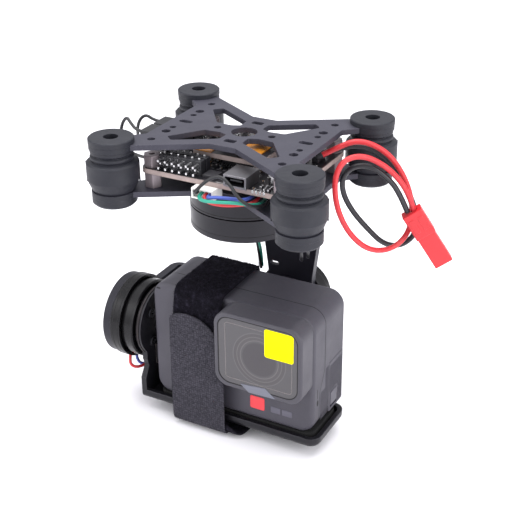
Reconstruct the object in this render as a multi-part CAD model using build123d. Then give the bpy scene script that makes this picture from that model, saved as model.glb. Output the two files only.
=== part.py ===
"""Three-axis brushless camera gimbal with an action camera strapped into its tray.

Millimetres. +Z is up, the lens looks along -Y, +X is the right hand side seen from the front.
The origin is the centre of the airframe bolt pattern, on the top face of the top plate,
and the yaw axis runs straight down from it.
"""
import os
from math import pi, radians, tan

from build123d import *

# ---------------------------------------------------------------- driving dimensions
DAMPER_X = 32.75            # half spacing of the rubber dampers
DAMPER_Y = 26.55
PLATE_T = 1.8               # both deck plates
DECK_GAP = 13.9             # between the two plates
LOWER_TOP = -PLATE_T - DECK_GAP
LOWER_BOTTOM = LOWER_TOP - PLATE_T
PANEL_HALF_X = 27.0
WAIST_HALF_Y = 14.0
RING_R = 7.2                # plate end that sits in a damper groove
NECK_R = 4.7                # rubber neck inside that ring
CORNER_HOLES = (23.0, 18.7)
OUTER_HOLES = (22.7, 10.5)
INNER_HOLES = (22.7, 6.4)
CORNER_R = 1.3
OUTER_R = 1.5
INNER_R = 1.1
CENTRE_HOLE_X = 9.8
CENTRE_HOLE_R = 1.25

BOARD = (52.0, 44.0, 1.6)
STANDOFF_LOW = 5.2
STANDOFF_HIGH = 4.0
BOARD_BOTTOM = LOWER_TOP + STANDOFF_LOW
BOARD_TOP = BOARD_BOTTOM + BOARD[2]
USB_X = (5.2, 13.0)

AIR = 0.05                  # radial clearance of screws in their holes
RUN = 0.03                  # radial running clearance of shafts in bearings

PAYLOAD_X = -0.5            # the camera sits half a millimetre left of the yaw axis
PITCH_Y = -1.5
AXIS_Z = -77.4              # roll and pitch axes cross at this height
ROLL_PLATE_Y = (33.1, 36.1)  # yaw arm's upright, front and back faces
ROLL_ARM_Y = (30.8, 32.7)
PITCH_END_X = -49.8         # outer face of the roll arm's side leg
SIDE_LEG_T = 3.0

CAM = (62.3, 24.6, 44.6)
CAM_FRONT = -10.36
CAM_BACK = CAM_FRONT + CAM[1]
CAM_BOTTOM = -100.9
CAM_TOP = CAM_BOTTOM + CAM[2]
CAM_LEFT = PAYLOAD_X - CAM[0] / 2
CAM_RIGHT = PAYLOAD_X + CAM[0] / 2
CAM_EDGE_R = 5.5            # corner rounding seen from the front
WALL = 1.8
SEAM_TOP_Y = -1.6           # where the front shell meets the rear shell, high on the sides
SEAM_LOW_Y = -5.9           # and where the seam reaches the underside

LENS_X = (-2.6, 30.2)
LENS_Z = (-84.8, -56.3)
LENS_FRONT = -18.6
LENS_C = (13.75, -70.15)
PANEL_C = (13.9, -70.25)      # glass panel over the lens
PANEL = (29.4, 25.1)

TRAY_X = (-37.3, 33.0)
TRAY_Y = (-12.4, 12.0)
TRAY_HEEL_R = 2.4           # rear bottom edge, so that the tray clears the roll arm
TRAY_BOTTOM = -105.4
TRAY_T = 1.6
LIP_TOP = -101.5
SIDE_T = 2.0
TRAY_DISC_R = 12.7

STRAP_X = (-22.4, -2.9)
STRAP_T = 1.2
TAB_T = 1.2

WIRE_D = 1.8

nodes = {}


def add(name, *solids):
    """Keep a sub-part; several solids share a node as a group."""
    nodes[name] = solids[0] if len(solids) == 1 else Compound(children=list(solids))


def box(x, y, z):
    """Box between low and high limits on each axis."""
    size = [b - a for a, b in (x, y, z)]
    middle = [(a + b) / 2 for a, b in (x, y, z)]
    return Pos(*middle) * Box(*size)


def rod(x, y, z0, z1, r):
    return Pos(x, y, (z0 + z1) / 2) * Cylinder(r, abs(z1 - z0))


def rod_y(x, z, y0, y1, r):
    return Pos(x, (y0 + y1) / 2, z) * Rot(90, 0, 0) * Cylinder(r, abs(y1 - y0))


def rod_x(y, z, x0, x1, r):
    return Pos((x0 + x1) / 2, y, z) * Rot(0, 90, 0) * Cylinder(r, abs(x1 - x0))


def corners(xy):
    return [(sx * xy[0], sy * xy[1]) for sx in (-1, 1) for sy in (-1, 1)]


def slab(sketch, z0, z1):
    return Pos(0, 0, z0) * extrude(sketch, z1 - z0)


def rounded_poly(points, r):
    face = make_face(Polyline(*points, close=True))
    return fillet(face.vertices(), r)


# ---------------------------------------------------------------- deck plates
def deck_outline(ring_hole):
    """Waisted plate whose four arms end in rings for the dampers."""
    quarter = [(4.5, WAIST_HALF_Y), (16.0, 20.9), (29.6, 29.0), (33.4, 25.0), (31.4, 19.7),
               (PANEL_HALF_X, 15.4)]
    right = quarter + [(x, -y) for x, y in reversed(quarter)]
    left = [(-x, -y) for x, y in right]
    outline = fillet(make_face(Polyline(*right, *left, close=True)).vertices(), 1.0)
    for x, y in corners((DAMPER_X, DAMPER_Y)):
        outline += Pos(x, y) * Circle(RING_R)
    for x, y in corners((DAMPER_X, DAMPER_Y)):
        outline -= Pos(x, y) * Circle(ring_hole)
    return outline


def deck_windows():
    quarter = [(3.9, 4.7), (4.1, 8.9), (17.2, 16.7), (19.9, 14.2), (12.3, 3.9), (6.9, 3.5)]
    windows = Sketch()
    for sx, sy in ((1, 1), (-1, 1), (1, -1), (-1, -1)):
        windows += rounded_poly([(sx * x, sy * y) for x, y in quarter], 0.9)
    return windows


def top_plate():
    sketch = deck_outline(NECK_R) - deck_windows() - Circle(4.2)
    for points, r in ((CORNER_HOLES, CORNER_R), (OUTER_HOLES, OUTER_R), (INNER_HOLES, INNER_R)):
        for x, y in corners(points):
            sketch -= Pos(x, y) * Circle(r)
    for s in (-1, 1):
        sketch -= Pos(s * CENTRE_HOLE_X, 0) * Circle(CENTRE_HOLE_R)
        sketch -= Pos(s * 21.7, 0) * SlotOverall(4.8, 2.4)
        sketch -= Pos(0, s * 9.1) * RectangleRounded(4.0, 2.5, 0.7)
    add("top_plate", slab(sketch, -PLATE_T, 0))


def lower_plate():
    sketch = deck_outline(NECK_R + 0.3) - Circle(5.6)
    for x, y in corners(CORNER_HOLES):
        sketch -= Pos(x, y) * Circle(1.25 + AIR)
    for x, y in corners((5.8, 5.8)):
        sketch -= Pos(x, y) * Circle(1.0 + AIR)
    for s in (-1, 1):
        sketch -= Pos(s * 22.4, 0) * SlotOverall(16, 4.0, rotation=90)
    add("lower_plate", slab(sketch, LOWER_BOTTOM, LOWER_TOP))


def damper():
    """Hollow rubber ball with a grooved neck at each end, turned about its own axis."""
    top, low = 0.0, LOWER_TOP
    outer = [(2.4, top + 1.8), (7.0, top + 1.8), (7.3, top + 1.5), (7.3, top), (NECK_R, top),
             (NECK_R, -PLATE_T), (6.9, -PLATE_T), (6.9, -2.9), (6.2, -3.6), (7.0, -4.2),
             (7.0, -4.8), (6.5, -5.4), (7.9, -5.9), (8.4, -6.4), (8.4, -11.8), (7.3, -14.5),
             (6.6, low), (NECK_R, low), (NECK_R, low - PLATE_T), (7.2, low - PLATE_T),
             (7.2, low - PLATE_T - 2.0), (6.4, low - PLATE_T - 2.8), (2.4, low - PLATE_T - 2.8)]
    inner = [(2.4, -14.2), (6.2, -12.0), (6.6, -11.0), (6.6, -8.0), (5.6, -6.8), (2.4, -5.4)]
    half = make_face(Polyline(*outer, *inner, close=True))
    return revolve(Plane.XZ * half, Axis.Z)


def dampers():
    shape = damper()
    for y_word, sy in (("front", -1), ("rear", 1)):
        for x_word, sx in (("left", -1), ("right", 1)):
            place = Pos(sx * DAMPER_X, sy * DAMPER_Y, 0)
            add(f"damper_{y_word}_{x_word}", place * shape)


def standoffs():
    """Hex posts and nuts that hold the board, its screws from below and the motor's from above."""
    posts = []
    nuts = []
    screws = []
    for x, y in corners(CORNER_HOLES):
        post = slab(RegularPolygon(2.5, 6, major_radius=False), LOWER_TOP, BOARD_BOTTOM)
        posts.append(Pos(x, y, 0) * (post - rod(0, 0, LOWER_TOP, BOARD_BOTTOM, 1.25 + AIR)))
        nut = slab(RegularPolygon(2.5, 6, major_radius=False), BOARD_TOP, BOARD_TOP + STANDOFF_HIGH)
        stud = rod(0, 0, BOARD_BOTTOM - 2.2, BOARD_TOP, 1.25)
        thread = rod(0, 0, BOARD_TOP - 0.8, BOARD_TOP + STANDOFF_HIGH, 1.0)
        nuts.append(Pos(x, y, 0) * (nut + stud - thread))
        head = Pos(0, 0, LOWER_BOTTOM - 0.7) * Cylinder(2.3, 1.4)
        socket = slab(RegularPolygon(0.8, 6), LOWER_BOTTOM - 1.4, LOWER_BOTTOM - 0.5)
        shank = rod(0, 0, LOWER_BOTTOM, LOWER_TOP + 2.6, 1.25)
        screws.append(Pos(x, y, 0) * (head - socket + shank))
    add("board_posts", *posts, *nuts)
    for x, y in corners((5.8, 5.8)):
        screws.append(Pos(x, y, LOWER_TOP) * screw(1.0, 1.9, 1.2, 3.3))
    add("deck_screws", *screws)


# ---------------------------------------------------------------- electronics on the lower deck
def controller():
    outline = RectangleRounded(BOARD[0], BOARD[1], 3.0)
    for x, y in corners(CORNER_HOLES):
        outline -= Pos(x, y) * Circle(1.25 + AIR)
    add("controller_board", slab(outline, BOARD_BOTTOM, BOARD_TOP))

    chips = [((-4.5, 4.5), (-7.5, 1.5), 1.0), ((-3.8, 0.6), (-20.0, -15.6), 1.0),
             ((14.5, 19.5), (-6.5, -1.5), 1.0), ((8.0, 12.0), (4.0, 10.0), 1.5),
             ((-14.0, -9.0), (6.0, 11.0), 1.0), ((14.5, 19.5), (1.5, 6.0), 2.2),
             ((-18.5, -13.5), (-4.0, 1.0), 1.0), ((-3.0, 3.0), (9.5, 14.0), 1.8)]
    bodies = [box(x, y, (BOARD_TOP, BOARD_TOP + h)) for x, y, h in chips]
    for x in range(-4, 4):
        centre = 2.2 * x + 4.0
        bodies.append(box((centre, centre + 1.0), (-13.6, -12.8), (BOARD_TOP, BOARD_TOP + 0.6)))
    for x, y in ((18.5, -15.0), (15.5, 12.5), (-8.0, 15.5)):
        bodies.append(rod(x, y, BOARD_TOP, BOARD_TOP + 3.0, 1.8))
    for points in (RED_ROUTE, BLACK_ROUTE):
        start = Vector(*points[0])
        way = (Vector(*points[1]) - start).normalized()
        cup = Solid.make_cylinder(1.15, 2.0, Plane(start - way * 2.0, z_dir=way))
        foot = box((start.X - 3.0, start.X - 0.8), (start.Y - 1.6, start.Y + 0.3),
                   (BOARD_TOP, start.Z - 0.5))
        bodies.append(cup.fuse(foot.solid()).solid())
    add("board_chips", *bodies)

    headers = []
    for y in (-19.6, -16.4):
        for column in range(6):
            x = -18.4 + 2.54 * column
            z = BOARD_TOP + 2.0
            block = box((x - 1.2, x + 1.2), (y, y + 2.4), (BOARD_TOP, BOARD_TOP + 4.8))
            for level in (-0.8, 1.6):
                block += box((x - 0.32, x + 0.32), (y - 3.0, y), (z + level - 0.32, z + level + 0.32))
            headers.append(block)
    add("pin_headers", *headers)

    low, high = USB_X
    shell = box(USB_X, (-22.9, -14.2), (BOARD_TOP, BOARD_TOP + 3.9))
    shell -= box((low + 0.6, high - 0.6), (-23.0, -16.0), (BOARD_TOP + 0.6, BOARD_TOP + 3.3))
    shell += box((low + 1.8, high - 1.8), (-21.9, -15.9), (BOARD_TOP + 1.7, BOARD_TOP + 2.3))
    add("usb_socket", shell)

    stack = box((-12.5, 12.0), (-12.0, 4.5), (BOARD_TOP + 3.4, BOARD_TOP + 5.0))
    stack = fillet(stack.edges().filter_by(Axis.Z), 1.5)
    legs = []
    for x in (-10.5, 10.0):
        for y in (-10.4, 2.4):
            legs.append(rod(x, y, BOARD_TOP, BOARD_TOP + 3.4, 0.8))
    module = stack
    for leg in legs:
        module += leg
    add("driver_module", module)

    plug = box((-4.9, 2.7), (-25.2, -19.4), (BOARD_BOTTOM - 3.4, BOARD_BOTTOM))
    plug -= box((-4.4, 2.2), (-25.3, -23.6), (BOARD_BOTTOM - 2.9, BOARD_BOTTOM - 0.5))
    add("sensor_socket", plug)

    # two three-pin plugs pushed on at the left edge, with their pins
    plugs = []
    for y in (-0.8, 7.5):
        block = box((-39.5, -29.5), (y, y + 7.6), (BOARD_TOP + 0.4, BOARD_TOP + 3.1))
        block = fillet(block.edges().filter_by(Axis.X), 0.4)
        for k in range(3):
            pin_y = y + 3.8 + 2.54 * (k - 1)
            mid = BOARD_TOP + 1.75
            block += box((-29.5, -23.5), (pin_y - 0.32, pin_y + 0.32), (mid - 0.32, mid + 0.32))
        block += box((-26.0, -23.5), (y, y + 7.6), (BOARD_TOP, BOARD_TOP + 2.7))
        plugs.append(block)
    add("motor_plugs", *plugs)


# ---------------------------------------------------------------- wires
def route(points, ratio=0.45):
    """Straight runs joined by the largest arcs that the runs allow."""
    vectors = [Vector(*p) for p in points]
    radii = []
    for a, b, c in zip(vectors, vectors[1:], vectors[2:]):
        turn = radians((b - a).get_angle(c - b))
        radii.append(ratio * min((b - a).length, (c - b).length) / tan(turn / 2))
    return FilletPolyline(*points, radius=radii), radii


def tube(points, diameter, name=None):
    """A wire along its route; with a name its radii and length are printed."""
    path, radii = route(points)
    section = Plane(path @ 0, z_dir=path % 0) * Circle(diameter / 2)
    solid = sweep(section, path=path)
    if name:
        expected = pi * diameter ** 2 / 4 * path.length
        print(name, "length", round(path.length, 1), "least radius", round(min(radii), 1),
              "volume ratio", round(solid.volume / expected, 4))
    return solid


RED_ROUTE = [(23.6, 8.4, -6.5), (27.6, 10.6, -4.2), (32.4, 13.0, -1.8), (37.4, 15.5, -2.8),
             (42.6, 18.0, -6.6), (46.7, 19.7, -12.9), (49.3, 21.1, -20.3), (49.9, 22.0, -28.3),
             (49.1, 19.9, -34.6), (45.8, 14.2, -37.8), (41.4, 6.7, -35.6), (37.8, 0.6, -28.9),
             (34.2, -1.0, -22.0), (31.6, 0.3, -15.2), (31.0, 2.5, -8.9), (32.9, 5.8, -5.1),
             (37.4, 9.7, -4.8), (43.0, 13.2, -8.4), (47.6, 15.6, -13.6), (50.4, 17.2, -19.4),
             (51.9, 18.0, -24.4)]
BLACK_ROUTE = [(23.6, 11.6, -6.9), (27.4, 13.2, -5.4), (32.0, 15.4, -4.2), (37.0, 18.0, -5.6),
               (41.7, 20.7, -10.1), (45.9, 23.2, -17.1), (49.0, 24.8, -24.6), (50.6, 25.5, -31.4),
               (49.7, 24.7, -36.8), (46.0, 22.0, -39.8), (41.3, 18.8, -38.5), (37.0, 15.6, -32.6),
               (32.8, 12.4, -26.0), (30.1, 10.0, -19.0), (30.3, 9.2, -12.8), (33.7, 10.0, -9.0),
               (38.6, 11.8, -8.6), (43.6, 13.8, -12.4), (47.2, 15.4, -17.2), (49.9, 16.9, -24.4)]
PLUG_TOP = Vector(51.0, 17.5, -24.2)
PLUG_END = Vector(61.1, 23.0, -42.4)


def power_lead():
    add("power_lead_red", tube(RED_ROUTE, WIRE_D, "red lead"))
    add("power_lead_black", tube(BLACK_ROUTE, WIRE_D, "black lead"))
    axis = (PLUG_END - PLUG_TOP).normalized()
    across = Vector(0.878, 0.478, 0)
    across = (across - axis * across.dot(axis)).normalized()
    length = (PLUG_END - PLUG_TOP).length
    frame = Plane(PLUG_TOP, x_dir=across, z_dir=axis)
    body = extrude(frame * RectangleRounded(6.9, 4.4, 0.6), 9.4)
    body += extrude(frame.offset(9.4) * RectangleRounded(6.3, 3.9, 0.5), length - 9.4)
    rib = extrude(frame.offset(1.0) * (Pos(0, -2.35) * Rectangle(3.0, 0.5)), 7.4)
    body += rib
    for s in (-1, 1):
        end = RED_ROUTE[-1] if s > 0 else BLACK_ROUTE[-1]
        before = RED_ROUTE[-2] if s > 0 else BLACK_ROUTE[-2]
        way = (Vector(*end) - Vector(*before)).normalized()
        body -= Solid.make_cylinder(WIRE_D / 2 + 0.2, 8.0, Plane(Vector(*end) - way * 8.0, z_dir=way))
    for s in (-1, 1):
        body -= extrude(frame.offset(length - 6.0) * (Pos(s * 1.3, 0) * Rectangle(1.1, 1.5)), 6.1)
    add("power_plug", body)


SENSOR_WIRES = [
    [(-3.5, -23.6, -12.2), (-3.5, -26.0, -12.0), (-1.6, -26.4, -9.6), (1.8, -25.8, -6.2),
     (5.6, -25.4, -4.6), (9.2, -25.8, -6.6), (12.6, -27.0, -10.0), (16.8, -26.4, -12.4),
     (19.0, -21.6, -13.0), (17.6, -14.4, -13.2), (12.6, -7.6, -13.6), (7.0, -1.6, -14.0),
     (1.8, -0.1, -15.8)],
    [(-1.9, -23.6, -12.2), (-1.9, -26.4, -12.4), (0.8, -28.4, -12.6), (6.0, -28.4, -12.0),
     (11.8, -27.0, -11.6), (16.0, -24.4, -12.6), (17.0, -19.6, -13.6), (14.8, -13.4, -14.4),
     (9.8, -7.6, -13.7), (4.6, -3.0, -13.9), (-0.2, -1.4, -16.4)],
    [(-0.3, -23.6, -12.2), (-0.3, -26.0, -12.4), (2.0, -26.8, -13.6), (6.8, -26.2, -13.8),
     (11.4, -24.6, -13.4), (14.6, -21.4, -13.4), (14.8, -16.2, -12.6), (11.8, -10.0, -12.4),
     (7.0, -4.4, -12.6), (2.6, 0.4, -13.4), (0.6, 1.2, -16.0)],
    [(1.2, -23.6, -12.2), (1.2, -27.0, -12.2), (4.6, -27.4, -11.0), (9.6, -25.6, -11.2),
     (13.2, -23.2, -12.0), (13.6, -18.0, -11.8), (11.6, -12.4, -12.0), (7.8, -7.2, -13.8),
     (3.4, -3.4, -12.6), (-0.8, 0.2, -13.4), (-1.3, 1.0, -16.0)],
]
MOTOR_WIRES = [
    [(-39.5, 1.6, -7.15), (-42.6, 1.6, -7.15), (-45.4, 2.4, -5.2), (-47.6, 3.4, -3.6),
     (-49.6, 3.0, -6.4), (-49.2, 1.2, -11.0), (-45.4, -1.2, -13.8), (-38.6, -2.8, -14.4),
     (-30.6, -3.4, -14.0), (-24.6, -3.0, -13.8), (-22.4, -2.6, -17.2), (-18.3, -2.2, -19.8)],
    [(-39.5, 12.8, -7.15), (-42.8, 12.8, -7.15), (-45.8, 12.2, -5.2), (-47.8, 10.6, -7.4),
     (-47.0, 8.0, -11.4), (-43.0, 5.2, -13.6), (-36.6, 3.4, -13.7), (-29.4, 2.6, -13.6),
     (-24.6, 2.6, -13.8), (-22.4, 2.6, -17.2), (-18.3, 2.4, -19.8)],
]
WIRE_T = 1.1


def deck_wires():
    add("sensor_wires", *[tube(points, WIRE_T) for points in SENSOR_WIRES])
    add("motor_wires", *[tube(points, WIRE_T) for points in MOTOR_WIRES])


# ---------------------------------------------------------------- brushless gimbal motor
class Motor:
    """Outrunner on its own axis: base at local z = 0, bell growing along +Z."""

    teeth = 12
    tooth_w = 1.6
    floor = 1.6
    skirt_start = 2.4

    def __init__(self, name, base_r, bell_r, base_l, gap, length, shaft_r, shaft_from, bore_r=0.0):
        self.name = name
        self.base_r, self.bell_r = base_r, bell_r
        self.base_l, self.gap, self.length = base_l, gap, length
        self.shaft_r, self.shaft_from, self.bore_r = shaft_r, shaft_from, bore_r
        self.tube_r = shaft_r + 3.4
        self.seat_r = shaft_r + 2.2
        self.skirt_r = base_r - 1.5
        self.magnet_r = base_r - 2.3
        self.stator_r = base_r - 3.8

    def base(self, screw_r):
        body = rod(0, 0, 0, self.base_l, self.base_r)
        body -= rod(0, 0, self.floor, self.base_l, self.base_r - 1.0)
        body += rod(0, 0, 0, self.length - 2.3, self.tube_r)
        body -= rod(0, 0, 0, self.length, self.seat_r)
        for x, y in corners((5.8, 5.8)):
            body -= rod(x, y, 0, self.floor, screw_r)
        rim = body.edges().filter_by(GeomType.CIRCLE).group_by(SortBy.RADIUS)[-1]
        return chamfer(rim.sort_by(Axis.Z)[0], 0.4)

    def stator(self):
        low, high = self.skirt_start + 0.9, self.length - 2.9
        core = rod(0, 0, low, high, self.tube_r + 1.4)
        for k in range(self.teeth):
            turn = Rot(0, 0, 360 / self.teeth * k)
            reach = self.stator_r - 0.5
            core += turn * box((self.tube_r + 0.7, reach), (-self.tooth_w / 2, self.tooth_w / 2),
                               (low, high))
        tips = rod(0, 0, low, high, self.stator_r) - rod(0, 0, low, high, self.stator_r - 1.0)
        for k in range(self.teeth):
            turn = Rot(0, 0, 360 / self.teeth * (k + 0.5))
            tips -= turn * box((self.stator_r - 1.6, self.stator_r + 1), (-0.7, 0.7), (low, high))
        core += tips
        return core - rod(0, 0, low, high, self.tube_r)

    def windings(self):
        low, high = self.skirt_start + 0.9, self.length - 2.9
        inner = self.tube_r + 2.0
        outer = self.stator_r - 1.2
        coils = []
        for k in range(self.teeth):
            turn = Rot(0, 0, 360 / self.teeth * k)
            half = self.tooth_w / 2
            coil = box((inner, outer), (-half - 0.75, half + 0.75), (low - 0.7, high + 0.5))
            coil = fillet(coil.edges().filter_by(Axis.X), 0.5)
            coil -= box((inner, outer), (-half, half), (low, high))
            coils.append(turn * coil)
        return coils

    def bell(self):
        start = self.base_l + self.gap
        body = rod(0, 0, start, self.length, self.bell_r)
        body += rod(0, 0, self.skirt_start, start, self.skirt_r)
        body -= rod(0, 0, self.skirt_start, self.length - 1.6, self.magnet_r)
        body -= rod(0, 0, self.length - 1.6, self.length, self.shaft_r)
        rim = body.edges().filter_by(GeomType.CIRCLE).group_by(SortBy.RADIUS)[-1]
        body = chamfer(rim.sort_by(Axis.Z)[-1], 0.5)
        return body

    def magnets(self):
        low, high = self.skirt_start + 0.3, self.length - 1.8
        ring = rod(0, 0, low, high, self.magnet_r) - rod(0, 0, low, high, self.magnet_r - 1.0)
        count = 14
        for k in range(count):
            turn = Rot(0, 0, 360 / count * k)
            ring -= turn * box((self.magnet_r - 2, self.magnet_r + 1), (-0.25, 0.25), (low, high))
        return ring.solids()

    def shaft(self):
        body = rod(0, 0, self.shaft_from, self.length, self.shaft_r)
        if self.bore_r:
            body -= rod(0, 0, self.shaft_from, self.length, self.bore_r)
        return body

    def bearings(self):
        rings = []
        for z in (0.4, self.length - 5.0):
            ring = rod(0, 0, z, z + 2.2, self.seat_r) - rod(0, 0, z, z + 2.2, self.shaft_r + RUN)
            rings.append(ring)
        return rings

    def write(self, place):
        parts = {
            "motor_base": [self.base(1.0 + AIR)],
            "stator": [self.stator(), *self.windings()],
            "bell": [self.bell()],
            "magnets": self.magnets(),
            "shaft": [self.shaft()],
            "bearings": self.bearings(),
        }
        for word, solids in parts.items():
            add(f"{self.name}_{word}", *[place * solid for solid in solids])


YAW = Motor("yaw", 18.1, 18.1, 5.2, 0.5, 13.3, 3.0, 0.6, bore_r=1.9)
ROLL = Motor("roll", 13.4, 12.4, 4.2, 1.4, 8.4, 2.0, -5.3)
PITCH = Motor("pitch", 15.3, 14.2, 4.2, 1.4, 8.8, 2.0, 0.6)
YAW_PLACE = Pos(0, 0, LOWER_BOTTOM) * Rot(180, 0, 0)
ROLL_PLACE = Pos(PAYLOAD_X, ROLL_PLATE_Y[1], AXIS_Z) * Rot(-90, 0, 0)
PITCH_PLACE = Pos(PITCH_END_X + SIDE_LEG_T, PITCH_Y, AXIS_Z) * Rot(0, 90, 0)
YAW_LOW = LOWER_BOTTOM - YAW.length


def screw(r, head_r, head_h, length):
    """Button-head screw, head above local z = 0 and shank below it."""
    head = rod(0, 0, 0, head_h, head_r)
    head = fillet(head.edges().sort_by(Axis.Z)[-1], head_h * 0.45)
    head -= slab(RegularPolygon(r * 0.75, 6), head_h * 0.4, head_h)
    return head + rod(0, 0, -length, 0, r)


def motors():
    YAW.write(YAW_PLACE)
    ROLL.write(ROLL_PLACE)
    PITCH.write(PITCH_PLACE)


# ---------------------------------------------------------------- yaw arm
ARM_TOP_HALF = 10.75
ARM_LOW_HALF = 9.0
FLANGE_T = 3.0


def yaw_arm():
    flange = box((-ARM_TOP_HALF, ARM_TOP_HALF), (-9.0, ROLL_PLATE_Y[1]), (YAW_LOW - FLANGE_T, YAW_LOW))
    flange = fillet(flange.edges().filter_by(Axis.Z).group_by(Axis.Y)[0], 8.0)
    sketch = make_face(Polyline((-ARM_TOP_HALF, YAW_LOW), (ARM_TOP_HALF, YAW_LOW),
                                (ARM_TOP_HALF, -53.0), (ARM_LOW_HALF, -66.0), (ARM_LOW_HALF, AXIS_Z),
                                (-ARM_LOW_HALF, AXIS_Z), (-ARM_LOW_HALF, -66.0),
                                (-ARM_TOP_HALF, -53.0), close=True))
    sketch += Pos(0, AXIS_Z) * Circle(ARM_LOW_HALF)
    sketch += Pos(PAYLOAD_X, AXIS_Z) * Circle(11.5)
    for x, z in ((7.2, -56.3), (4.6, -58.0)):
        sketch -= Pos(x, z) * SlotOverall(4.4, 1.3, rotation=90)
    sketch -= Pos(-6.4, -63.2) * SlotOverall(3.6, 1.3)
    sketch -= Pos(0, -45.0) * SlotOverall(9.0, 3.2, rotation=90)
    upright = Plane.XZ * sketch
    upright = Pos(0, ROLL_PLATE_Y[1], 0) * extrude(upright, ROLL_PLATE_Y[1] - ROLL_PLATE_Y[0])
    arm = flange + upright
    arm = fillet(arm.edges().filter_by(Axis.X).sort_by(lambda e: e.center().Y - e.center().Z)[-1], 2.0)
    arm -= rod(0, 0, YAW_LOW - FLANGE_T, YAW_LOW, 3.4)
    for x, y in corners((5.2, 5.2)):
        arm -= rod(x, y, YAW_LOW - FLANGE_T, YAW_LOW, 1.0 + AIR)
    arm -= rod_y(PAYLOAD_X, AXIS_Z, ROLL_PLATE_Y[0], ROLL_PLATE_Y[1], ROLL.seat_r)
    for x, z in corners((5.8, 5.8)):
        arm -= rod_y(PAYLOAD_X + x, AXIS_Z + z, *ROLL_PLATE_Y, 1.0 + AIR)
    add("yaw_arm", arm)

    screws = []
    for x, y in corners((5.2, 5.2)):
        flat = Pos(x, y, YAW_LOW - FLANGE_T) * Rot(180, 0, 0) * screw(1.0, 1.9, 1.2, 3.0)
        screws.append(flat)
    for x, z in corners((5.8, 5.8)):
        place = Pos(PAYLOAD_X + x, ROLL_PLATE_Y[0] + 0.6, AXIS_Z + z) * Rot(90, 0, 0)
        screws.append(place * (rod(0, 0, -4.0, 0, 1.0)))
    add("yaw_arm_screws", *screws)


ARM_CABLE = [(0.6, 0.4, -31.4), (0.2, 2.4, -36.2), (-4.0, 8.0, -38.4), (-9.0, 15.0, -39.4),
             (-12.4, 22.6, -42.0), (-13.4, 28.8, -47.6), (-13.2, 33.0, -54.8), (-14.4, 36.6, -62.0),
             (-14.8, 38.2, -69.2)]


# ---------------------------------------------------------------- roll arm
LEG_LOW = AXIS_Z - 9.0
LEG_HIGH = AXIS_Z + 5.0
ROLL_HUB_R = 10.0


def roll_arm():
    inner_x = PITCH_END_X + SIDE_LEG_T
    back = box((PITCH_END_X, PAYLOAD_X), ROLL_ARM_Y, (LEG_LOW, LEG_HIGH))
    hub = rod_y(PAYLOAD_X, AXIS_Z, *ROLL_ARM_Y, ROLL_HUB_R)
    side = box((PITCH_END_X, inner_x), (PITCH_Y, ROLL_ARM_Y[1]), (LEG_LOW, LEG_HIGH))
    arm = back + side
    arm = fillet(arm.edges().filter_by(Axis.Z).sort_by(lambda e: e.center().Y - e.center().X)[-1], 4.0)
    arm += hub
    arm += rod_x(PITCH_Y, AXIS_Z, PITCH_END_X, inner_x, 14.8)
    arm -= rod_y(PAYLOAD_X, AXIS_Z, *ROLL_ARM_Y, ROLL.shaft_r)
    for y, z in corners((5.8, 5.8)):
        arm -= rod_x(PITCH_Y + y, AXIS_Z + z, PITCH_END_X, inner_x, 1.0 + AIR)
    arm -= rod_x(PITCH_Y, AXIS_Z, PITCH_END_X, inner_x, 3.0)
    arm -= box((-36.0, -14.0), ROLL_ARM_Y, (AXIS_Z - 5.4, AXIS_Z + 1.4))
    add("roll_arm", arm)
    screws = []
    for y, z in corners((5.8, 5.8)):
        place = Pos(PITCH_END_X, PITCH_Y + y, AXIS_Z + z) * Rot(0, -90, 0)
        screws.append(place * screw(1.0, 1.9, 1.2, 4.4))
    add("roll_arm_screws", *screws)


PITCH_WIRES = [
    [(-45.0, -7.5, -91.7), (-44.6, -9.2, -94.4), (-42.2, -9.0, -95.8), (-39.8, -5.8, -95.6),
     (-38.9, -0.4, -95.2), (-39.8, 5.6, -94.2), (-42.2, 11.8, -91.2), (-43.6, 17.6, -86.4),
     (-46.6, 18.6, -84.8)],
    [(-45.2, -3.4, -92.8), (-44.8, -4.2, -95.6), (-42.8, -3.6, -97.6), (-40.8, -0.2, -97.6),
     (-40.8, 5.4, -96.6), (-42.4, 12.2, -93.6), (-43.4, 20.4, -87.8), (-46.6, 22.6, -84.8)],
]


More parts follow.
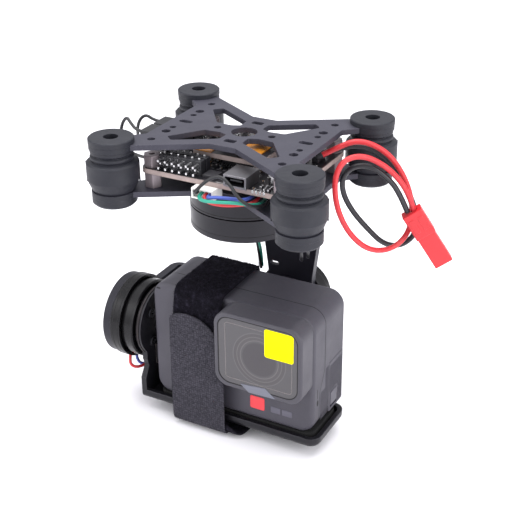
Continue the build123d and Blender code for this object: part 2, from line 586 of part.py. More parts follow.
# ---------------------------------------------------------------- camera tray
def tray():
    inner_left = TRAY_X[0] + SIDE_T
    pan = box(TRAY_X, TRAY_Y, (TRAY_BOTTOM, LIP_TOP))
    pan = fillet(pan.edges().filter_by(Axis.Z).group_by(Axis.X)[-1], 4.0)
    heel = pan.faces().sort_by(Axis.Z)[0].edges().filter_by(Axis.X).sort_by(Axis.Y)[-1]
    pan = fillet(heel, TRAY_HEEL_R)
    hollow = box((inner_left, TRAY_X[1] - TRAY_T), (TRAY_Y[0] + TRAY_T, TRAY_Y[1] - TRAY_T),
                 (TRAY_BOTTOM + TRAY_T, LIP_TOP))
    pan -= fillet(hollow.edges().filter_by(Axis.Z).group_by(Axis.X)[-1], 2.6)
    mid = (TRAY_Y[0] + TRAY_Y[1]) / 2
    half = (TRAY_Y[1] - TRAY_Y[0]) / 2
    rise = AXIS_Z - LIP_TOP
    profile = [(TRAY_Y[0], 0), (TRAY_Y[0], 5.6), (TRAY_Y[0] + 2.6, 9.8), (PITCH_Y - 9.2, 12.6),
               (PITCH_Y - 9.2, rise), (PITCH_Y + 9.2, rise), (PITCH_Y + 9.2, 12.6),
               (TRAY_Y[1] - 2.6, 9.8), (TRAY_Y[1], 5.6), (TRAY_Y[1], 0)]
    sketch = make_face(Polyline(*[(y, LIP_TOP - 0.5 + z) for y, z in profile], close=True))
    sketch += Pos(PITCH_Y, AXIS_Z) * Circle(TRAY_DISC_R)
    side = Plane.YZ * sketch
    side = Pos(TRAY_X[0], 0, 0) * extrude(side, SIDE_T)
    boss = rod_x(PITCH_Y, AXIS_Z, PITCH_END_X + SIDE_LEG_T + PITCH.length, TRAY_X[0], 9.6)
    body = pan + side + boss
    body -= rod_x(PITCH_Y, AXIS_Z, -40.0, inner_left, PITCH.shaft_r + 1.2)
    for y, z in corners((5.8, 5.8)):
        body -= rod_x(PITCH_Y + y, AXIS_Z + z, -40.0, inner_left, 1.0 + AIR)
    for x in (2.0, 12.0, 22.0):
        slot = Pos(x, mid, TRAY_BOTTOM + TRAY_T / 2) * Box(5.0, half, 2.0)
        body -= fillet(slot.edges().filter_by(Axis.Z), 2.0)
    add("camera_tray", body)

    screws = []
    for y, z in corners((5.8, 5.8)):
        place = Pos(inner_left, PITCH_Y + y, AXIS_Z + z) * Rot(0, 90, 0)
        screws.append(place * screw(1.0, 1.8, 1.1, 2.6))
    add("tray_screws", *screws)

    pad = box((-31.0, 30.2), (-10.2, 10.0), (TRAY_BOTTOM + TRAY_T, CAM_BOTTOM))
    add("tray_pad", fillet(pad.edges().filter_by(Axis.Z), 3.0))
    add("motion_sensor", box((-35.2, -32.4), (-5.5, 2.5), (-93.5, -85.5)))


def strap():
    """Hook-and-loop band round camera and tray, with its overlapping tab in front."""
    gap = 0.35
    low_y, high_y = TRAY_Y[0] - gap, CAM_BACK + gap
    outline = [(low_y, TRAY_BOTTOM - 1.5), (-3.0, TRAY_BOTTOM - 1.5), (5.0, TRAY_BOTTOM - gap),
               (TRAY_Y[1] + gap, TRAY_BOTTOM - gap),
               (TRAY_Y[1] + gap, LIP_TOP - 1.3), (high_y, LIP_TOP + 1.5), (high_y, CAM_TOP + gap),
               (CAM_FRONT - gap, CAM_TOP + gap), (low_y, CAM_TOP - 9.0)]
    inner = make_face(Polyline(*outline, close=True))
    heel = inner.vertices().sort_by(lambda v: v.Y - v.X)[0]
    inner = fillet(heel, TRAY_HEEL_R + gap)
    sharp = inner.vertices().sort_by(lambda v: v.X + v.Y)
    inner = fillet([v for v in sharp if v.Y > LIP_TOP + 2 or v.X < 0], 1.6)
    outer = offset(inner, STRAP_T)
    band = Plane.YZ * (outer - inner)
    band = Pos(STRAP_X[0], 0, 0) * extrude(band, STRAP_X[1] - STRAP_X[0])
    front = low_y - STRAP_T
    tab = box(STRAP_X, (front - 0.1 - TAB_T, front - 0.1), (TRAY_BOTTOM + 0.6, -64.0))
    top = tab.edges().filter_by(Axis.Y).group_by(Axis.Z)[-1]
    add("camera_strap", band, fillet(top, 6.0))


# ---------------------------------------------------------------- action camera
def camera_block(y0, y1, inset=0.0):
    face = Pos(PAYLOAD_X, (CAM_TOP + CAM_BOTTOM) / 2) * RectangleRounded(
        CAM[0] - 2 * inset, CAM[2] - 2 * inset, CAM_EDGE_R - inset)
    return Pos(0, y1, 0) * extrude(Plane.XZ * face, y1 - y0)


SHUTTER_X = -14.0
SHUTTER_Y = 6.5
SHUTTER_R = 4.0
DOOR_Y = (2.0, 13.2)
DOOR_Z = (-99.0, -78.5)
DOOR_T = 1.3
LATCH_Y = (3.4, 8.4)
LATCH_Z = (-96.8, -91.6)
LATCH_TRAVEL = 1.0


def ahead_of_seam():
    """Everything in front of the line where the two shells meet."""
    seam = [(SEAM_TOP_Y, CAM_TOP + 1), (SEAM_TOP_Y, -79.0), (SEAM_LOW_Y + 0.6, -86.2),
            (SEAM_LOW_Y, CAM_BOTTOM - 1)]
    face = make_face(Polyline(*seam, (CAM_FRONT - 1, CAM_BOTTOM - 1), (CAM_FRONT - 1, CAM_TOP + 1), close=True))
    return extrude(Plane.YZ * face, 2 * CAM[0], both=True)


def camera():
    ahead = ahead_of_seam()
    front = camera_block(CAM_FRONT, 1.0)
    front = fillet(front.faces().sort_by(Axis.Y)[0].edges(), 1.6)
    front -= camera_block(CAM_FRONT + WALL, 1.0, WALL)
    front &= ahead
    hood = Pos(sum(LENS_X) / 2, sum(LENS_Z) / 2) * RectangleRounded(
        LENS_X[1] - LENS_X[0], LENS_Z[1] - LENS_Z[0], 5.0)
    hood_depth = CAM_FRONT + 1.0 - LENS_FRONT
    surround = Pos(0, CAM_FRONT, 0) * extrude(Plane.XZ * hood, CAM_FRONT - LENS_FRONT)
    surround = fillet(surround.faces().sort_by(Axis.Y)[0].edges(), 0.9)
    opening = Pos(*PANEL_C) * RectangleRounded(PANEL[0] - 2.6, PANEL[1] - 2.6, 2.0)
    surround -= Pos(0, CAM_FRONT, 0) * extrude(Plane.XZ * opening, hood_depth)
    window_face = Pos(*PANEL_C) * RectangleRounded(*PANEL, 4.0)
    window_seat = Pos(0, LENS_FRONT + 1.2, 0) * extrude(
        Plane.XZ * Pos(*PANEL_C) * RectangleRounded(PANEL[0] + 0.4, PANEL[1] + 0.4, 4.2), 1.2)
    surround -= window_seat
    front -= rod_y(*LENS_C, CAM_FRONT, CAM_FRONT + WALL, 8.2)
    add("camera_front_shell", front)
    add("lens_surround", surround)
    add("lens_window", Pos(0, LENS_FRONT + 1.1, 0) * extrude(Plane.XZ * window_face, 1.0))

    barrel = rod_y(*LENS_C, LENS_FRONT + 2.2, -2.0, 7.9)
    barrel -= rod_y(*LENS_C, LENS_FRONT + 2.2, LENS_FRONT + 4.4, 6.2)
    barrel -= rod_y(*LENS_C, LENS_FRONT + 4.4, LENS_FRONT + 7.0, 4.4)
    add("lens_barrel", barrel)

    rear = camera_block(-8.0, CAM_BACK)
    rear = fillet(rear.faces().sort_by(Axis.Y)[-1].edges(), 1.6)
    rear -= camera_block(-8.0, CAM_BACK - WALL, WALL)
    rear -= ahead
    button = rod(SHUTTER_X, SHUTTER_Y, CAM_TOP - WALL, CAM_TOP, SHUTTER_R + 0.12)
    rear -= button
    mode_hole = rod_x(SHUTTER_Y, -72.0, CAM_LEFT, CAM_LEFT + WALL, 2.6 + 0.12)
    rear -= mode_hole
    rear -= box((CAM_RIGHT - DOOR_T - 0.2, CAM_RIGHT + 1), DOOR_Y, DOOR_Z)
    rear -= box((PAYLOAD_X - 22.0, PAYLOAD_X + 22.0), (CAM_BACK - 0.8, CAM_BACK), (-94.4, -62.6))
    add("camera_rear_shell", rear)
    screen = box((PAYLOAD_X - 21.9, PAYLOAD_X + 21.9), (CAM_BACK - 0.8, CAM_BACK - 0.1), (-94.3, -62.7))
    add("rear_screen", screen)
    battery = box((2.0, 27.0), (2.4, 11.6), (-98.4, -66.0))
    add("battery", fillet(battery.edges().filter_by(Axis.Z), 1.5))

    cap = rod(SHUTTER_X, SHUTTER_Y, CAM_TOP - WALL - 0.4, CAM_TOP, SHUTTER_R)
    cap += rod(SHUTTER_X, SHUTTER_Y, CAM_TOP - WALL - 1.0, CAM_TOP - WALL - 0.4, SHUTTER_R)
    add("shutter_button", cap)
    add("mode_button", rod_x(SHUTTER_Y, -72.0, CAM_LEFT - 0.3, CAM_LEFT + WALL + 0.4, 2.6))

    pivot_z = DOOR_Z[1] - 0.12 - DOOR_T / 2
    door = box((CAM_RIGHT - DOOR_T, CAM_RIGHT), (DOOR_Y[0] + 0.12, DOOR_Y[1] - 0.12),
               (DOOR_Z[0] + 0.12, pivot_z))
    door = fillet(door.edges().filter_by(Axis.X).group_by(Axis.Z)[0], 0.8)
    door += rod_y(CAM_RIGHT - DOOR_T / 2, pivot_z, DOOR_Y[0] + 0.12, DOOR_Y[1] - 0.12, DOOR_T / 2)
    door -= box((CAM_RIGHT - 0.75, CAM_RIGHT + 1.0), (LATCH_Y[0] - 0.12, LATCH_Y[1] + 0.12),
                (LATCH_Z[0] - LATCH_TRAVEL - 0.2, LATCH_Z[1] + 0.12))
    add("side_door", door)
    latch = box((CAM_RIGHT - 0.7, CAM_RIGHT + 0.15), LATCH_Y, LATCH_Z)
    add("door_latch", fillet(latch.edges().filter_by(Axis.X), 0.5))


def held_cables():
    add("arm_cable", tube(ARM_CABLE, 2.2))
    add("pitch_wires", *[tube(points, WIRE_T) for points in PITCH_WIRES])


top_plate()
dampers()
lower_plate()
standoffs()
controller()
power_lead()
deck_wires()
motors()
yaw_arm()
roll_arm()
tray()
strap()
camera()
held_cables()

os.makedirs("parts", exist_ok=True)
for node, shape in nodes.items():
    export_step(shape, f"parts/{node}.step")
print(len(nodes), "nodes")
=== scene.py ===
import math
import random

import bmesh
import bpy
from mathutils import Matrix, Vector, noise


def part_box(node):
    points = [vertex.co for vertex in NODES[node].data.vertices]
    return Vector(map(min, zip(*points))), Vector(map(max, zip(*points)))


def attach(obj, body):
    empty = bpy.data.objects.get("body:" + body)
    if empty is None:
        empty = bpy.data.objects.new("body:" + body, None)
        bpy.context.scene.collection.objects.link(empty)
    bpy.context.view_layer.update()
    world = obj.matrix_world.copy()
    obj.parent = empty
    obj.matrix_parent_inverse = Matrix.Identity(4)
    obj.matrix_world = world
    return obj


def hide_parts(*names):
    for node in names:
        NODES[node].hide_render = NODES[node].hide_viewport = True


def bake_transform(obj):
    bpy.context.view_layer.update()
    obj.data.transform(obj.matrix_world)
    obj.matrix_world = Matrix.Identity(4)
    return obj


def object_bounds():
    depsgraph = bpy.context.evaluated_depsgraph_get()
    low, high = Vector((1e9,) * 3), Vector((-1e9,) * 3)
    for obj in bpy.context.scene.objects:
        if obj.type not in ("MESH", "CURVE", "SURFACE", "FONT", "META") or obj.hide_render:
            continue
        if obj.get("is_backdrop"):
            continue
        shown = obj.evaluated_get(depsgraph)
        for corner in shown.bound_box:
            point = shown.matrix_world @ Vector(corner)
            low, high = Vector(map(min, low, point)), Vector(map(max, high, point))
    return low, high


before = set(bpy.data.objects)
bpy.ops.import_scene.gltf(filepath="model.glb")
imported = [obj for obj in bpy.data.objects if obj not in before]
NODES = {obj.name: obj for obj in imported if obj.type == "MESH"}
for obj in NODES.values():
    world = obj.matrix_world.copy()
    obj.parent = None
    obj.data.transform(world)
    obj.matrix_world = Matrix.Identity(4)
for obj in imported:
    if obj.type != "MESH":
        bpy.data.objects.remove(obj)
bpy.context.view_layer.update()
MM = 0.001

# -------- camera
camera_data = bpy.data.cameras.new("view_camera")
camera_data.lens = 76.785
camera_data.sensor_width = 36.0
camera_data.sensor_fit = "HORIZONTAL"
camera_data.clip_start = 0.01
camera_data.clip_end = 20.0
view_camera = bpy.data.objects.new("view_camera", camera_data)
RIGHT = Vector((0.88042911, 0.47409365, -0.00893299))
UP = Vector((-0.2066728, 0.40062672, 0.89262791))
BACK = Vector((0.42676802, -0.78404939, 0.45070569))
PLACE = Vector((0.158433, -0.284819, 0.120707))
view_camera.matrix_world = Matrix((
    (RIGHT.x, UP.x, BACK.x, PLACE.x),
    (RIGHT.y, UP.y, BACK.y, PLACE.y),
    (RIGHT.z, UP.z, BACK.z, PLACE.z),
    (0.0, 0.0, 0.0, 1.0),
))
bpy.context.scene.collection.objects.link(view_camera)
bpy.context.scene.camera = view_camera
bpy.context.scene.view_settings.view_transform = "Standard"


# -------- material helpers
def srgb(r, g, b):
    """Linear colour from 0-255 display values."""
    out = []
    for c in (r, g, b):
        c = c / 255
        out.append(c / 12.92 if c <= 0.04045 else ((c + 0.055) / 1.055) ** 2.4)
    return (*out, 1.0)


class Graph:
    """A material being wired: n() adds a node, wire() joins sockets."""

    def __init__(self, name):
        self.material = bpy.data.materials.new(name)
        self.material.use_nodes = True
        self.tree = self.material.node_tree
        self.tree.nodes.clear()
        self.out = self.n("ShaderNodeOutputMaterial")
        self.shader = self.n("ShaderNodeBsdfPrincipled")
        self.wire(self.shader, "BSDF", self.out, "Surface")
        self.coords = self.n("ShaderNodeTexCoord")

    def n(self, kind, **settings):
        node = self.tree.nodes.new(kind)
        for key, value in settings.items():
            if hasattr(node, key):
                setattr(node, key, value)
            else:
                node.inputs[key.replace("_", " ")].default_value = value
        return node

    def wire(self, a, a_socket, b, b_socket):
        self.tree.links.new(a.outputs[a_socket], b.inputs[b_socket])

    def set(self, socket, value):
        self.shader.inputs[socket].default_value = value

    def noise(self, scale, detail=3.0, roughness=0.5, stretch=None):
        node = self.n("ShaderNodeTexNoise")
        node.inputs["Scale"].default_value = scale
        node.inputs["Detail"].default_value = detail
        node.inputs["Roughness"].default_value = roughness
        if stretch:
            mapping = self.n("ShaderNodeMapping")
            mapping.inputs["Scale"].default_value = stretch
            self.wire(self.coords, "Object", mapping, "Vector")
            self.wire(mapping, "Vector", node, "Vector")
        else:
            self.wire(self.coords, "Object", node, "Vector")
        return node

    def ramp(self, source, socket, stops):
        node = self.n("ShaderNodeValToRGB")
        while len(node.color_ramp.elements) < len(stops):
            node.color_ramp.elements.new(0.5)
        for element, (position, colour) in zip(node.color_ramp.elements, stops):
            element.position = position
            element.color = colour
        self.wire(source, socket, node, "Fac")
        return node

    def span(self, source, socket, low, high, to_low, to_high):
        node = self.n("ShaderNodeMapRange")
        for key, value in (("From Min", low), ("From Max", high), ("To Min", to_low), ("To Max", to_high)):
            node.inputs[key].default_value = value
        self.wire(source, socket, node, "Value")
        return node

    def mix(self, fac, a, b):
        """Colour mix; fac, a and b are (node, socket) pairs or plain values."""
        node = self.n("ShaderNodeMix", data_type="RGBA")
        for socket, value in (("Factor", fac), ("A", a), ("B", b)):
            target = [s for s in node.inputs if s.name == socket and s.enabled][0]
            if isinstance(value, tuple) and hasattr(value[0], "outputs"):
                self.tree.links.new(value[0].outputs[value[1]], target)
            else:
                target.default_value = value
        return node

    def bump(self, source, socket, strength, distance, invert=False):
        """Wire a height into the shader's normal; returns the bump node."""
        node = self.n("ShaderNodeBump")
        node.invert = invert
        node.inputs["Strength"].default_value = strength
        node.inputs["Distance"].default_value = distance
        self.wire(source, socket, node, "Height")
        self.wire(node, "Normal", self.shader, "Normal")
        return node

    def colour_out(self, node):
        return [s for s in node.outputs if s.enabled and s.type == "RGBA"][0]


def scaled(colour, k):
    return (*[min(1.0, c * k) for c in colour[:3]], 1.0)


ROUGH_VAR = 0.08


def surface(name, colour, rough, metal=0.0, spec=0.5, var=0.12, var_scale=45.0, grain=1400.0,
            bump=0.08, depth=0.00005, edge=0.25, edge_colour=None, edge_r=0.00035,
            stretch=None, coat=0.0, coat_rough=0.2, specks=0.0):
    """Painted, anodised or moulded surface: mottled colour, fine grain, and rubbed edges."""
    g = Graph(name)
    tone = g.noise(var_scale, 5.0, 0.6)
    base = g.ramp(tone, "Fac", [(0.3, scaled(colour, 1 - var)), (0.7, scaled(colour, 1 + var))])
    last = (base, "Color")
    fine = g.noise(grain, 2.0, 0.6, stretch)
    if specks:
        dots = g.noise(grain * 0.6, 1.0, 0.5)
        dot_mask = g.ramp(dots, "Fac", [(0.62, (0, 0, 0, 1)), (0.74, (1, 1, 1, 1))])
        strength = g.span(dot_mask, "Color", 0.0, 1.0, 0.0, specks)
        mixed = g.mix((strength, "Result"), last, scaled(colour, 2.6))
        last = (mixed, g.colour_out(mixed).identifier)
    bevel = g.n("ShaderNodeBevel", samples=4)
    bevel.inputs["Radius"].default_value = edge_r
    if edge:
        geometry = g.n("ShaderNodeNewGeometry")
        dot = g.n("ShaderNodeVectorMath", operation="DOT_PRODUCT")
        g.wire(bevel, "Normal", dot, 0)
        g.wire(geometry, "Normal", dot, 1)
        worn = g.span(dot, "Value", 0.995, 0.90, 0.0, edge)
        patchy = g.n("ShaderNodeMath", operation="MULTIPLY")
        g.wire(worn, "Result", patchy, 0)
        rub = g.noise(240.0, 3.0, 0.7)
        rub_mask = g.span(rub, "Fac", 0.35, 0.65, 0.25, 1.0)
        g.wire(rub_mask, "Result", patchy, 1)
        mixed = g.n("ShaderNodeMix", data_type="RGBA")
        sockets = [s for s in mixed.inputs if s.enabled]
        g.tree.links.new(patchy.outputs[0], sockets[0])
        g.tree.links.new([s for s in last[0].outputs if s.enabled][0], sockets[1])
        sockets[2].default_value = edge_colour or scaled(colour, 2.2)
        g.tree.links.new(g.colour_out(mixed), g.shader.inputs["Base Color"])
    else:
        g.tree.links.new([s for s in last[0].outputs if s.enabled][0], g.shader.inputs["Base Color"])
    rough_noise = g.noise(var_scale * 3.1, 4.0, 0.6)
    rough_low, rough_high = max(0.03, rough - ROUGH_VAR), min(1.0, rough + ROUGH_VAR)
    rough_map = g.span(rough_noise, "Fac", 0.25, 0.75, rough_low, rough_high)
    g.wire(rough_map, "Result", g.shader, "Roughness")
    g.wire(bevel, "Normal", g.bump(fine, "Fac", bump, depth), "Normal")
    g.set("Metallic", metal)
    g.set("Specular IOR Level", spec)
    g.set("Coat Weight", coat)
    g.set("Coat Roughness", coat_rough)
    return g.material


def paint(node_name, material):
    """Give a CAD node its finish."""
    mesh = NODES[node_name].data
    mesh.materials.clear()
    mesh.materials.append(material)
    for polygon in mesh.polygons:
        polygon.material_index = 0


# -------- finishes
PLATE = surface("plate_grey", srgb(60, 59, 70), 0.55, metal=0.3, var=0.10, bump=0.25, grain=1900.0,
                depth=0.00006, edge=0.35, edge_colour=srgb(112, 110, 124), specks=0.12)
RUBBER_TONE = srgb(29, 30, 38)
RUBBER = surface("damper_rubber", RUBBER_TONE, 0.55, var=0.18, var_scale=90.0, bump=0.3, grain=1100.0,
                 depth=0.00008, edge=0.35, edge_colour=srgb(72, 73, 86), spec=0.4, specks=0.08)
ZINC = surface("zinc_post", srgb(142, 132, 136), 0.42, metal=0.55, var=0.10, bump=0.15, edge=0.3)
BLACK_STEEL = surface("black_oxide", srgb(34, 34, 38), 0.38, metal=0.8, var=0.2, bump=0.15, edge=0.6,
                      edge_colour=srgb(120, 120, 126))
BOARD_MASK = surface("solder_mask", srgb(26, 25, 30), 0.35, var=0.25, var_scale=200.0, bump=0.12, coat=0.4,
                     edge=0.7, edge_colour=srgb(150, 138, 134), edge_r=0.0009)
CHIP = surface("chip_epoxy", srgb(38, 37, 42), 0.55, var=0.2, bump=0.2, edge=0.5,
               edge_colour=srgb(110, 108, 112))
TIN = surface("tinned_metal", srgb(205, 204, 206), 0.28, metal=1.0, var=0.08, bump=0.12, edge=0.2)
USB_STEEL = surface("usb_steel", srgb(128, 126, 130), 0.42, metal=0.85, var=0.2, bump=0.12, edge=0.5)
NYLON_WHITE = surface("white_nylon", srgb(236, 236, 232), 0.42, var=0.04, bump=0.1, edge=0.1)
NYLON_BLACK = surface("black_nylon", srgb(24, 24, 29), 0.48, var=0.15, bump=0.15, edge=0.35,
                      edge_colour=srgb(90, 90, 96))
NYLON_RED = surface("red_nylon", srgb(200, 30, 38), 0.38, var=0.07, bump=0.1, edge=0.35,
                    edge_colour=srgb(244, 96, 100), coat=0.15)
SILICONE_RED = surface("red_silicone", srgb(196, 38, 46), 0.42, var=0.07, var_scale=160.0, bump=0.1, edge=0.0,
                       coat=0.1)
SILICONE_BLACK = surface("black_silicone", srgb(22, 22, 29), 0.42, var=0.18, var_scale=160.0, bump=0.1,
                         edge=0.0,
                         coat=0.1)
WIRES = {
    "red": surface("wire_red", srgb(206, 52, 58), 0.42, var=0.08, edge=0.0),
    "green": surface("wire_green", srgb(38, 150, 128), 0.42, var=0.08, edge=0.0),
    "blue": surface("wire_blue", srgb(72, 92, 178), 0.42, var=0.08, edge=0.0),
    "black": surface("wire_black", srgb(24, 24, 28), 0.42, var=0.12, edge=0.0),
    "white": surface("wire_white", srgb(206, 206, 212), 0.42, var=0.05, edge=0.0),
}
MOTOR = surface("motor_anodised", srgb(34, 33, 38), 0.36, metal=0.55, var=0.10, bump=0.10, grain=2600.0,
                stretch=(1.0, 1.0, 0.06), edge=0.4, edge_colour=srgb(130, 128, 136), edge_r=0.0003)
MOTOR_GLOSS = surface("motor_black", srgb(13, 12, 15), 0.30, metal=0.5, var=0.15, bump=0.08, grain=2600.0,
                      stretch=(0.06, 1.0, 1.0), edge=0.4, edge_colour=srgb(92, 90, 96), edge_r=0.0003)
COPPER = surface("stator_copper", srgb(184, 104, 56), 0.35, metal=0.9, var=0.25, var_scale=700.0, bump=0.5,
                 grain=2600.0, edge=0.2)
MAGNET = surface("magnet_nickel", srgb(150, 150, 154), 0.3, metal=1.0, edge=0.3)
STEEL = surface("ground_steel", srgb(176, 176, 180), 0.25, metal=1.0, bump=0.1, edge=0.2)
ARM = surface("arm_anodised", srgb(30, 29, 38), 0.45, metal=0.45, var=0.12, bump=0.2, grain=2100.0, edge=0.5,
              edge_colour=srgb(112, 110, 120))
TRAY = surface("tray_anodised", srgb(24, 23, 29), 0.42, metal=0.4, var=0.14, bump=0.2, grain=2100.0,
               edge=0.55,
               edge_colour=srgb(110, 108, 116))
FOAM = surface("tray_foam", srgb(16, 16, 17), 0.95, var=0.3, var_scale=600.0, bump=0.8, depth=0.0002,
               edge=0.0)
SHELL = surface("camera_rubber", srgb(63, 61, 70), 0.55, var=0.05, bump=0.35, grain=3200.0, depth=0.00004,
                edge=0.20, edge_colour=srgb(96, 94, 106), edge_r=0.0003, specks=0.06)
SURROUND = surface("lens_block", srgb(64, 62, 70), 0.50, var=0.05, bump=0.3, grain=3200.0, depth=0.00004,
                   edge=0.20, edge_colour=srgb(98, 96, 108), edge_r=0.0003)
BUTTON = surface("button_plastic", srgb(66, 64, 74), 0.45, var=0.08, edge=0.3)
BARREL = surface("barrel_black", srgb(30, 30, 33), 0.35, var=0.1, bump=0.15, edge=0.5,
                 edge_colour=srgb(96, 95, 100))
SCREEN = surface("screen_glass", srgb(10, 10, 13), 0.08, var=0.1, bump=0.0, edge=0.2, coat=0.6,
                 coat_rough=0.03)
BATTERY = surface("battery_case", srgb(60, 60, 64), 0.5, var=0.1, edge=0.2)

FINISH = {
    "top_plate": PLATE, "lower_plate": PLATE, "board_posts": ZINC, "deck_screws": BLACK_STEEL,
    "controller_board": BOARD_MASK, "board_chips": CHIP, "pin_headers": NYLON_BLACK, "usb_socket": USB_STEEL,
    "driver_module": BOARD_MASK, "sensor_socket": NYLON_WHITE, "motor_plugs": NYLON_BLACK,
    "power_plug": NYLON_RED, "yaw_arm": ARM, "roll_arm": ARM, "yaw_arm_screws": BLACK_STEEL,
    "roll_arm_screws": BLACK_STEEL, "tray_screws": BLACK_STEEL, "camera_tray": TRAY, "tray_pad": FOAM,
    "motion_sensor": BOARD_MASK, "camera_front_shell": SHELL, "camera_rear_shell": SHELL, "side_door": SHELL,
    "lens_surround": SURROUND, "lens_barrel": BARREL, "rear_screen": SCREEN, "battery": BATTERY,
    "shutter_button": BUTTON, "mode_button": BUTTON, "door_latch": BUTTON,
    "yaw_motor_base": MOTOR, "yaw_bell": MOTOR, "roll_motor_base": MOTOR_GLOSS, "roll_bell": MOTOR_GLOSS,
    "pitch_motor_base": MOTOR_GLOSS, "pitch_bell": MOTOR_GLOSS,
}
for motor in ("yaw", "roll", "pitch"):
    FINISH[f"{motor}_stator"] = COPPER
    FINISH[f"{motor}_magnets"] = MAGNET
    FINISH[f"{motor}_shaft"] = STEEL
    FINISH[f"{motor}_bearings"] = STEEL
for node_name, finish in FINISH.items():
    paint(node_name, finish)


LENS_AT = (14.6, -70.7)      # the lens axis in XZ, in mm
WINDOW_RINGS = [(0.0, (57, 53, 58)), (5.9, (58, 55, 59)), (6.25, (62, 60, 63)), (6.4, (70, 68, 71)),
                (6.8, (70, 68, 71)), (7.05, (94, 90, 91)), (7.3, (69, 66, 69)), (8.1, (69, 66, 69)),
                (8.35, (90, 87, 88)), (8.6, (67, 64, 67)), (9.5, (68, 65, 68)), (9.75, (88, 86, 88)),
                (10.0, (71, 69, 72)), (13.0, (71, 69, 72))]


def glass():
    """Coated window: warm grey, with the lens's rings showing around its centre."""
    g = Graph("lens_glass")
    flat = g.n("ShaderNodeVectorMath", operation="MULTIPLY")
    g.wire(g.coords, "Object", flat, 0)
    flat.inputs[1].default_value = (1.0, 0.0, 1.0)
    place = g.n("ShaderNodeVectorMath", operation="SUBTRACT")
    g.wire(flat, 0, place, 0)
    place.inputs[1].default_value = (LENS_AT[0] * MM, 0.0, LENS_AT[1] * MM)
    size = g.n("ShaderNodeVectorMath", operation="LENGTH")
    g.wire(place, 0, size, 0)
    radius = g.span(size, "Value", 0.0, 0.013, 0.0, 1.0)
    tint = g.ramp(radius, "Result", [(r / 13.0, srgb(*tone)) for r, tone in WINDOW_RINGS])
    g.wire(tint, "Color", g.shader, "Base Color")
    smudge = g.noise(60.0, 4.0, 0.6)
    rough = g.span(smudge, "Fac", 0.3, 0.7, 0.30, 0.40)
    g.wire(rough, "Result", g.shader, "Roughness")
    g.set("Specular IOR Level", 0.4)
    g.set("Coat Weight", 0.25)
    g.set("Coat Roughness", 0.08)
    return g.material


paint("lens_window", glass())


def repaint(node_name, material, test):
    """Give part of a CAD node another finish: the faces whose centre, in mm, passes the test."""
    mesh = NODES[node_name].data
    mesh.materials.append(material)
    index = len(mesh.materials) - 1
    for polygon in mesh.polygons:
        if test(polygon.center / MM, polygon.normal):
            polygon.material_index = index


# -------- geometry helpers
def link(name, mesh, material, body, smooth=False):
    obj = bpy.data.objects.new(name, mesh)
    bpy.context.scene.collection.objects.link(obj)
    mesh.materials.append(material)
    if smooth:
        for polygon in mesh.polygons:
            polygon.use_smooth = True
    if body:
        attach(obj, body)
    return obj


def from_bmesh(name, bm, material, body, smooth=False):
    mesh = bpy.data.meshes.new(name)
    bmesh.ops.recalc_face_normals(bm, faces=bm.faces)
    bm.to_mesh(mesh)
    bm.free()
    return link(name, mesh, material, body, smooth)


def add_block(bm, low, high, turn=None, bevel=0.0):
    """Box between two corners in millimetres, its edges rounded by bevel."""
    made = bmesh.ops.create_cube(bm, size=1.0)["verts"]
    middle = (Vector(low) + Vector(high)) / 2
    size = Vector(high) - Vector(low)
    for v in made:
        v.co = Vector((v.co.x * size.x, v.co.y * size.y, v.co.z * size.z))
    if bevel:
        edges = list({e for v in made for e in v.link_edges})
        result = bmesh.ops.bevel(bm, geom=edges, offset=bevel, segments=2, affect="EDGES", profile=0.5)
        made = list({v for f in result["faces"] for v in f.verts} | {v for v in made if v.is_valid})
    for v in made:
        v.co = (turn @ v.co if turn else v.co) + middle
        v.co *= MM


def curve(name, points, diameter, material, body):
    """Smooth wire through the route's control points, in millimetres."""
    data = bpy.data.curves.new(name, "CURVE")
    data.dimensions = "3D"
    data.resolution_u = 16
    data.bevel_depth = diameter / 2 * MM
    data.bevel_resolution = 5
    data.use_fill_caps = True
    spline = data.splines.new("NURBS")
    spline.points.add(len(points) - 1)
    for point, p in zip(spline.points, points):
        point.co = (p[0] * MM, p[1] * MM, p[2] * MM, 1.0)
    spline.order_u = 3
    spline.use_endpoint_u = True
    obj = bpy.data.objects.new(name, data)
    bpy.context.scene.collection.objects.link(obj)
    data.materials.append(material)
    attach(obj, body)
    return obj


# -------- power lead
RED_ROUTE = [(23.6, 8.4, -6.5), (27.6, 10.6, -4.2), (32.4, 13.0, -1.8), (37.4, 15.5, -2.8),
             (42.6, 18.0, -6.6), (46.7, 19.7, -12.9), (49.3, 21.1, -20.3), (49.9, 22.0, -28.3),
             (49.1, 19.9, -34.6), (45.8, 14.2, -37.8), (41.4, 6.7, -35.6), (37.8, 0.6, -28.9),
             (34.2, -1.0, -22.0), (31.6, 0.3, -15.2), (31.0, 2.5, -8.9), (32.9, 5.8, -5.1),
             (37.4, 9.7, -4.8), (43.0, 13.2, -8.4), (47.6, 15.6, -13.6), (50.4, 17.2, -19.4),
             (51.9, 18.0, -24.4)]
BLACK_ROUTE = [(23.6, 11.6, -6.9), (27.4, 13.2, -5.4), (32.0, 15.4, -4.2), (37.0, 18.0, -5.6),
               (41.7, 20.7, -10.1), (45.9, 23.2, -17.1), (49.0, 24.8, -24.6), (50.6, 25.5, -31.4),
               (49.7, 24.7, -36.8), (46.0, 22.0, -39.8), (41.3, 18.8, -38.5), (37.0, 15.6, -32.6),
               (32.8, 12.4, -26.0), (30.1, 10.0, -19.0), (30.3, 9.2, -12.8), (33.7, 10.0, -9.0),
               (38.6, 11.8, -8.6), (43.6, 13.8, -12.4), (47.2, 15.4, -17.2), (49.9, 16.9, -24.4)]
red_lead = curve("red_lead", RED_ROUTE, 1.8, SILICONE_RED, "lower_deck")
black_lead = curve("black_lead", BLACK_ROUTE, 1.8, SILICONE_BLACK, "lower_deck")
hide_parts("power_lead_red")
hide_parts("power_lead_black")

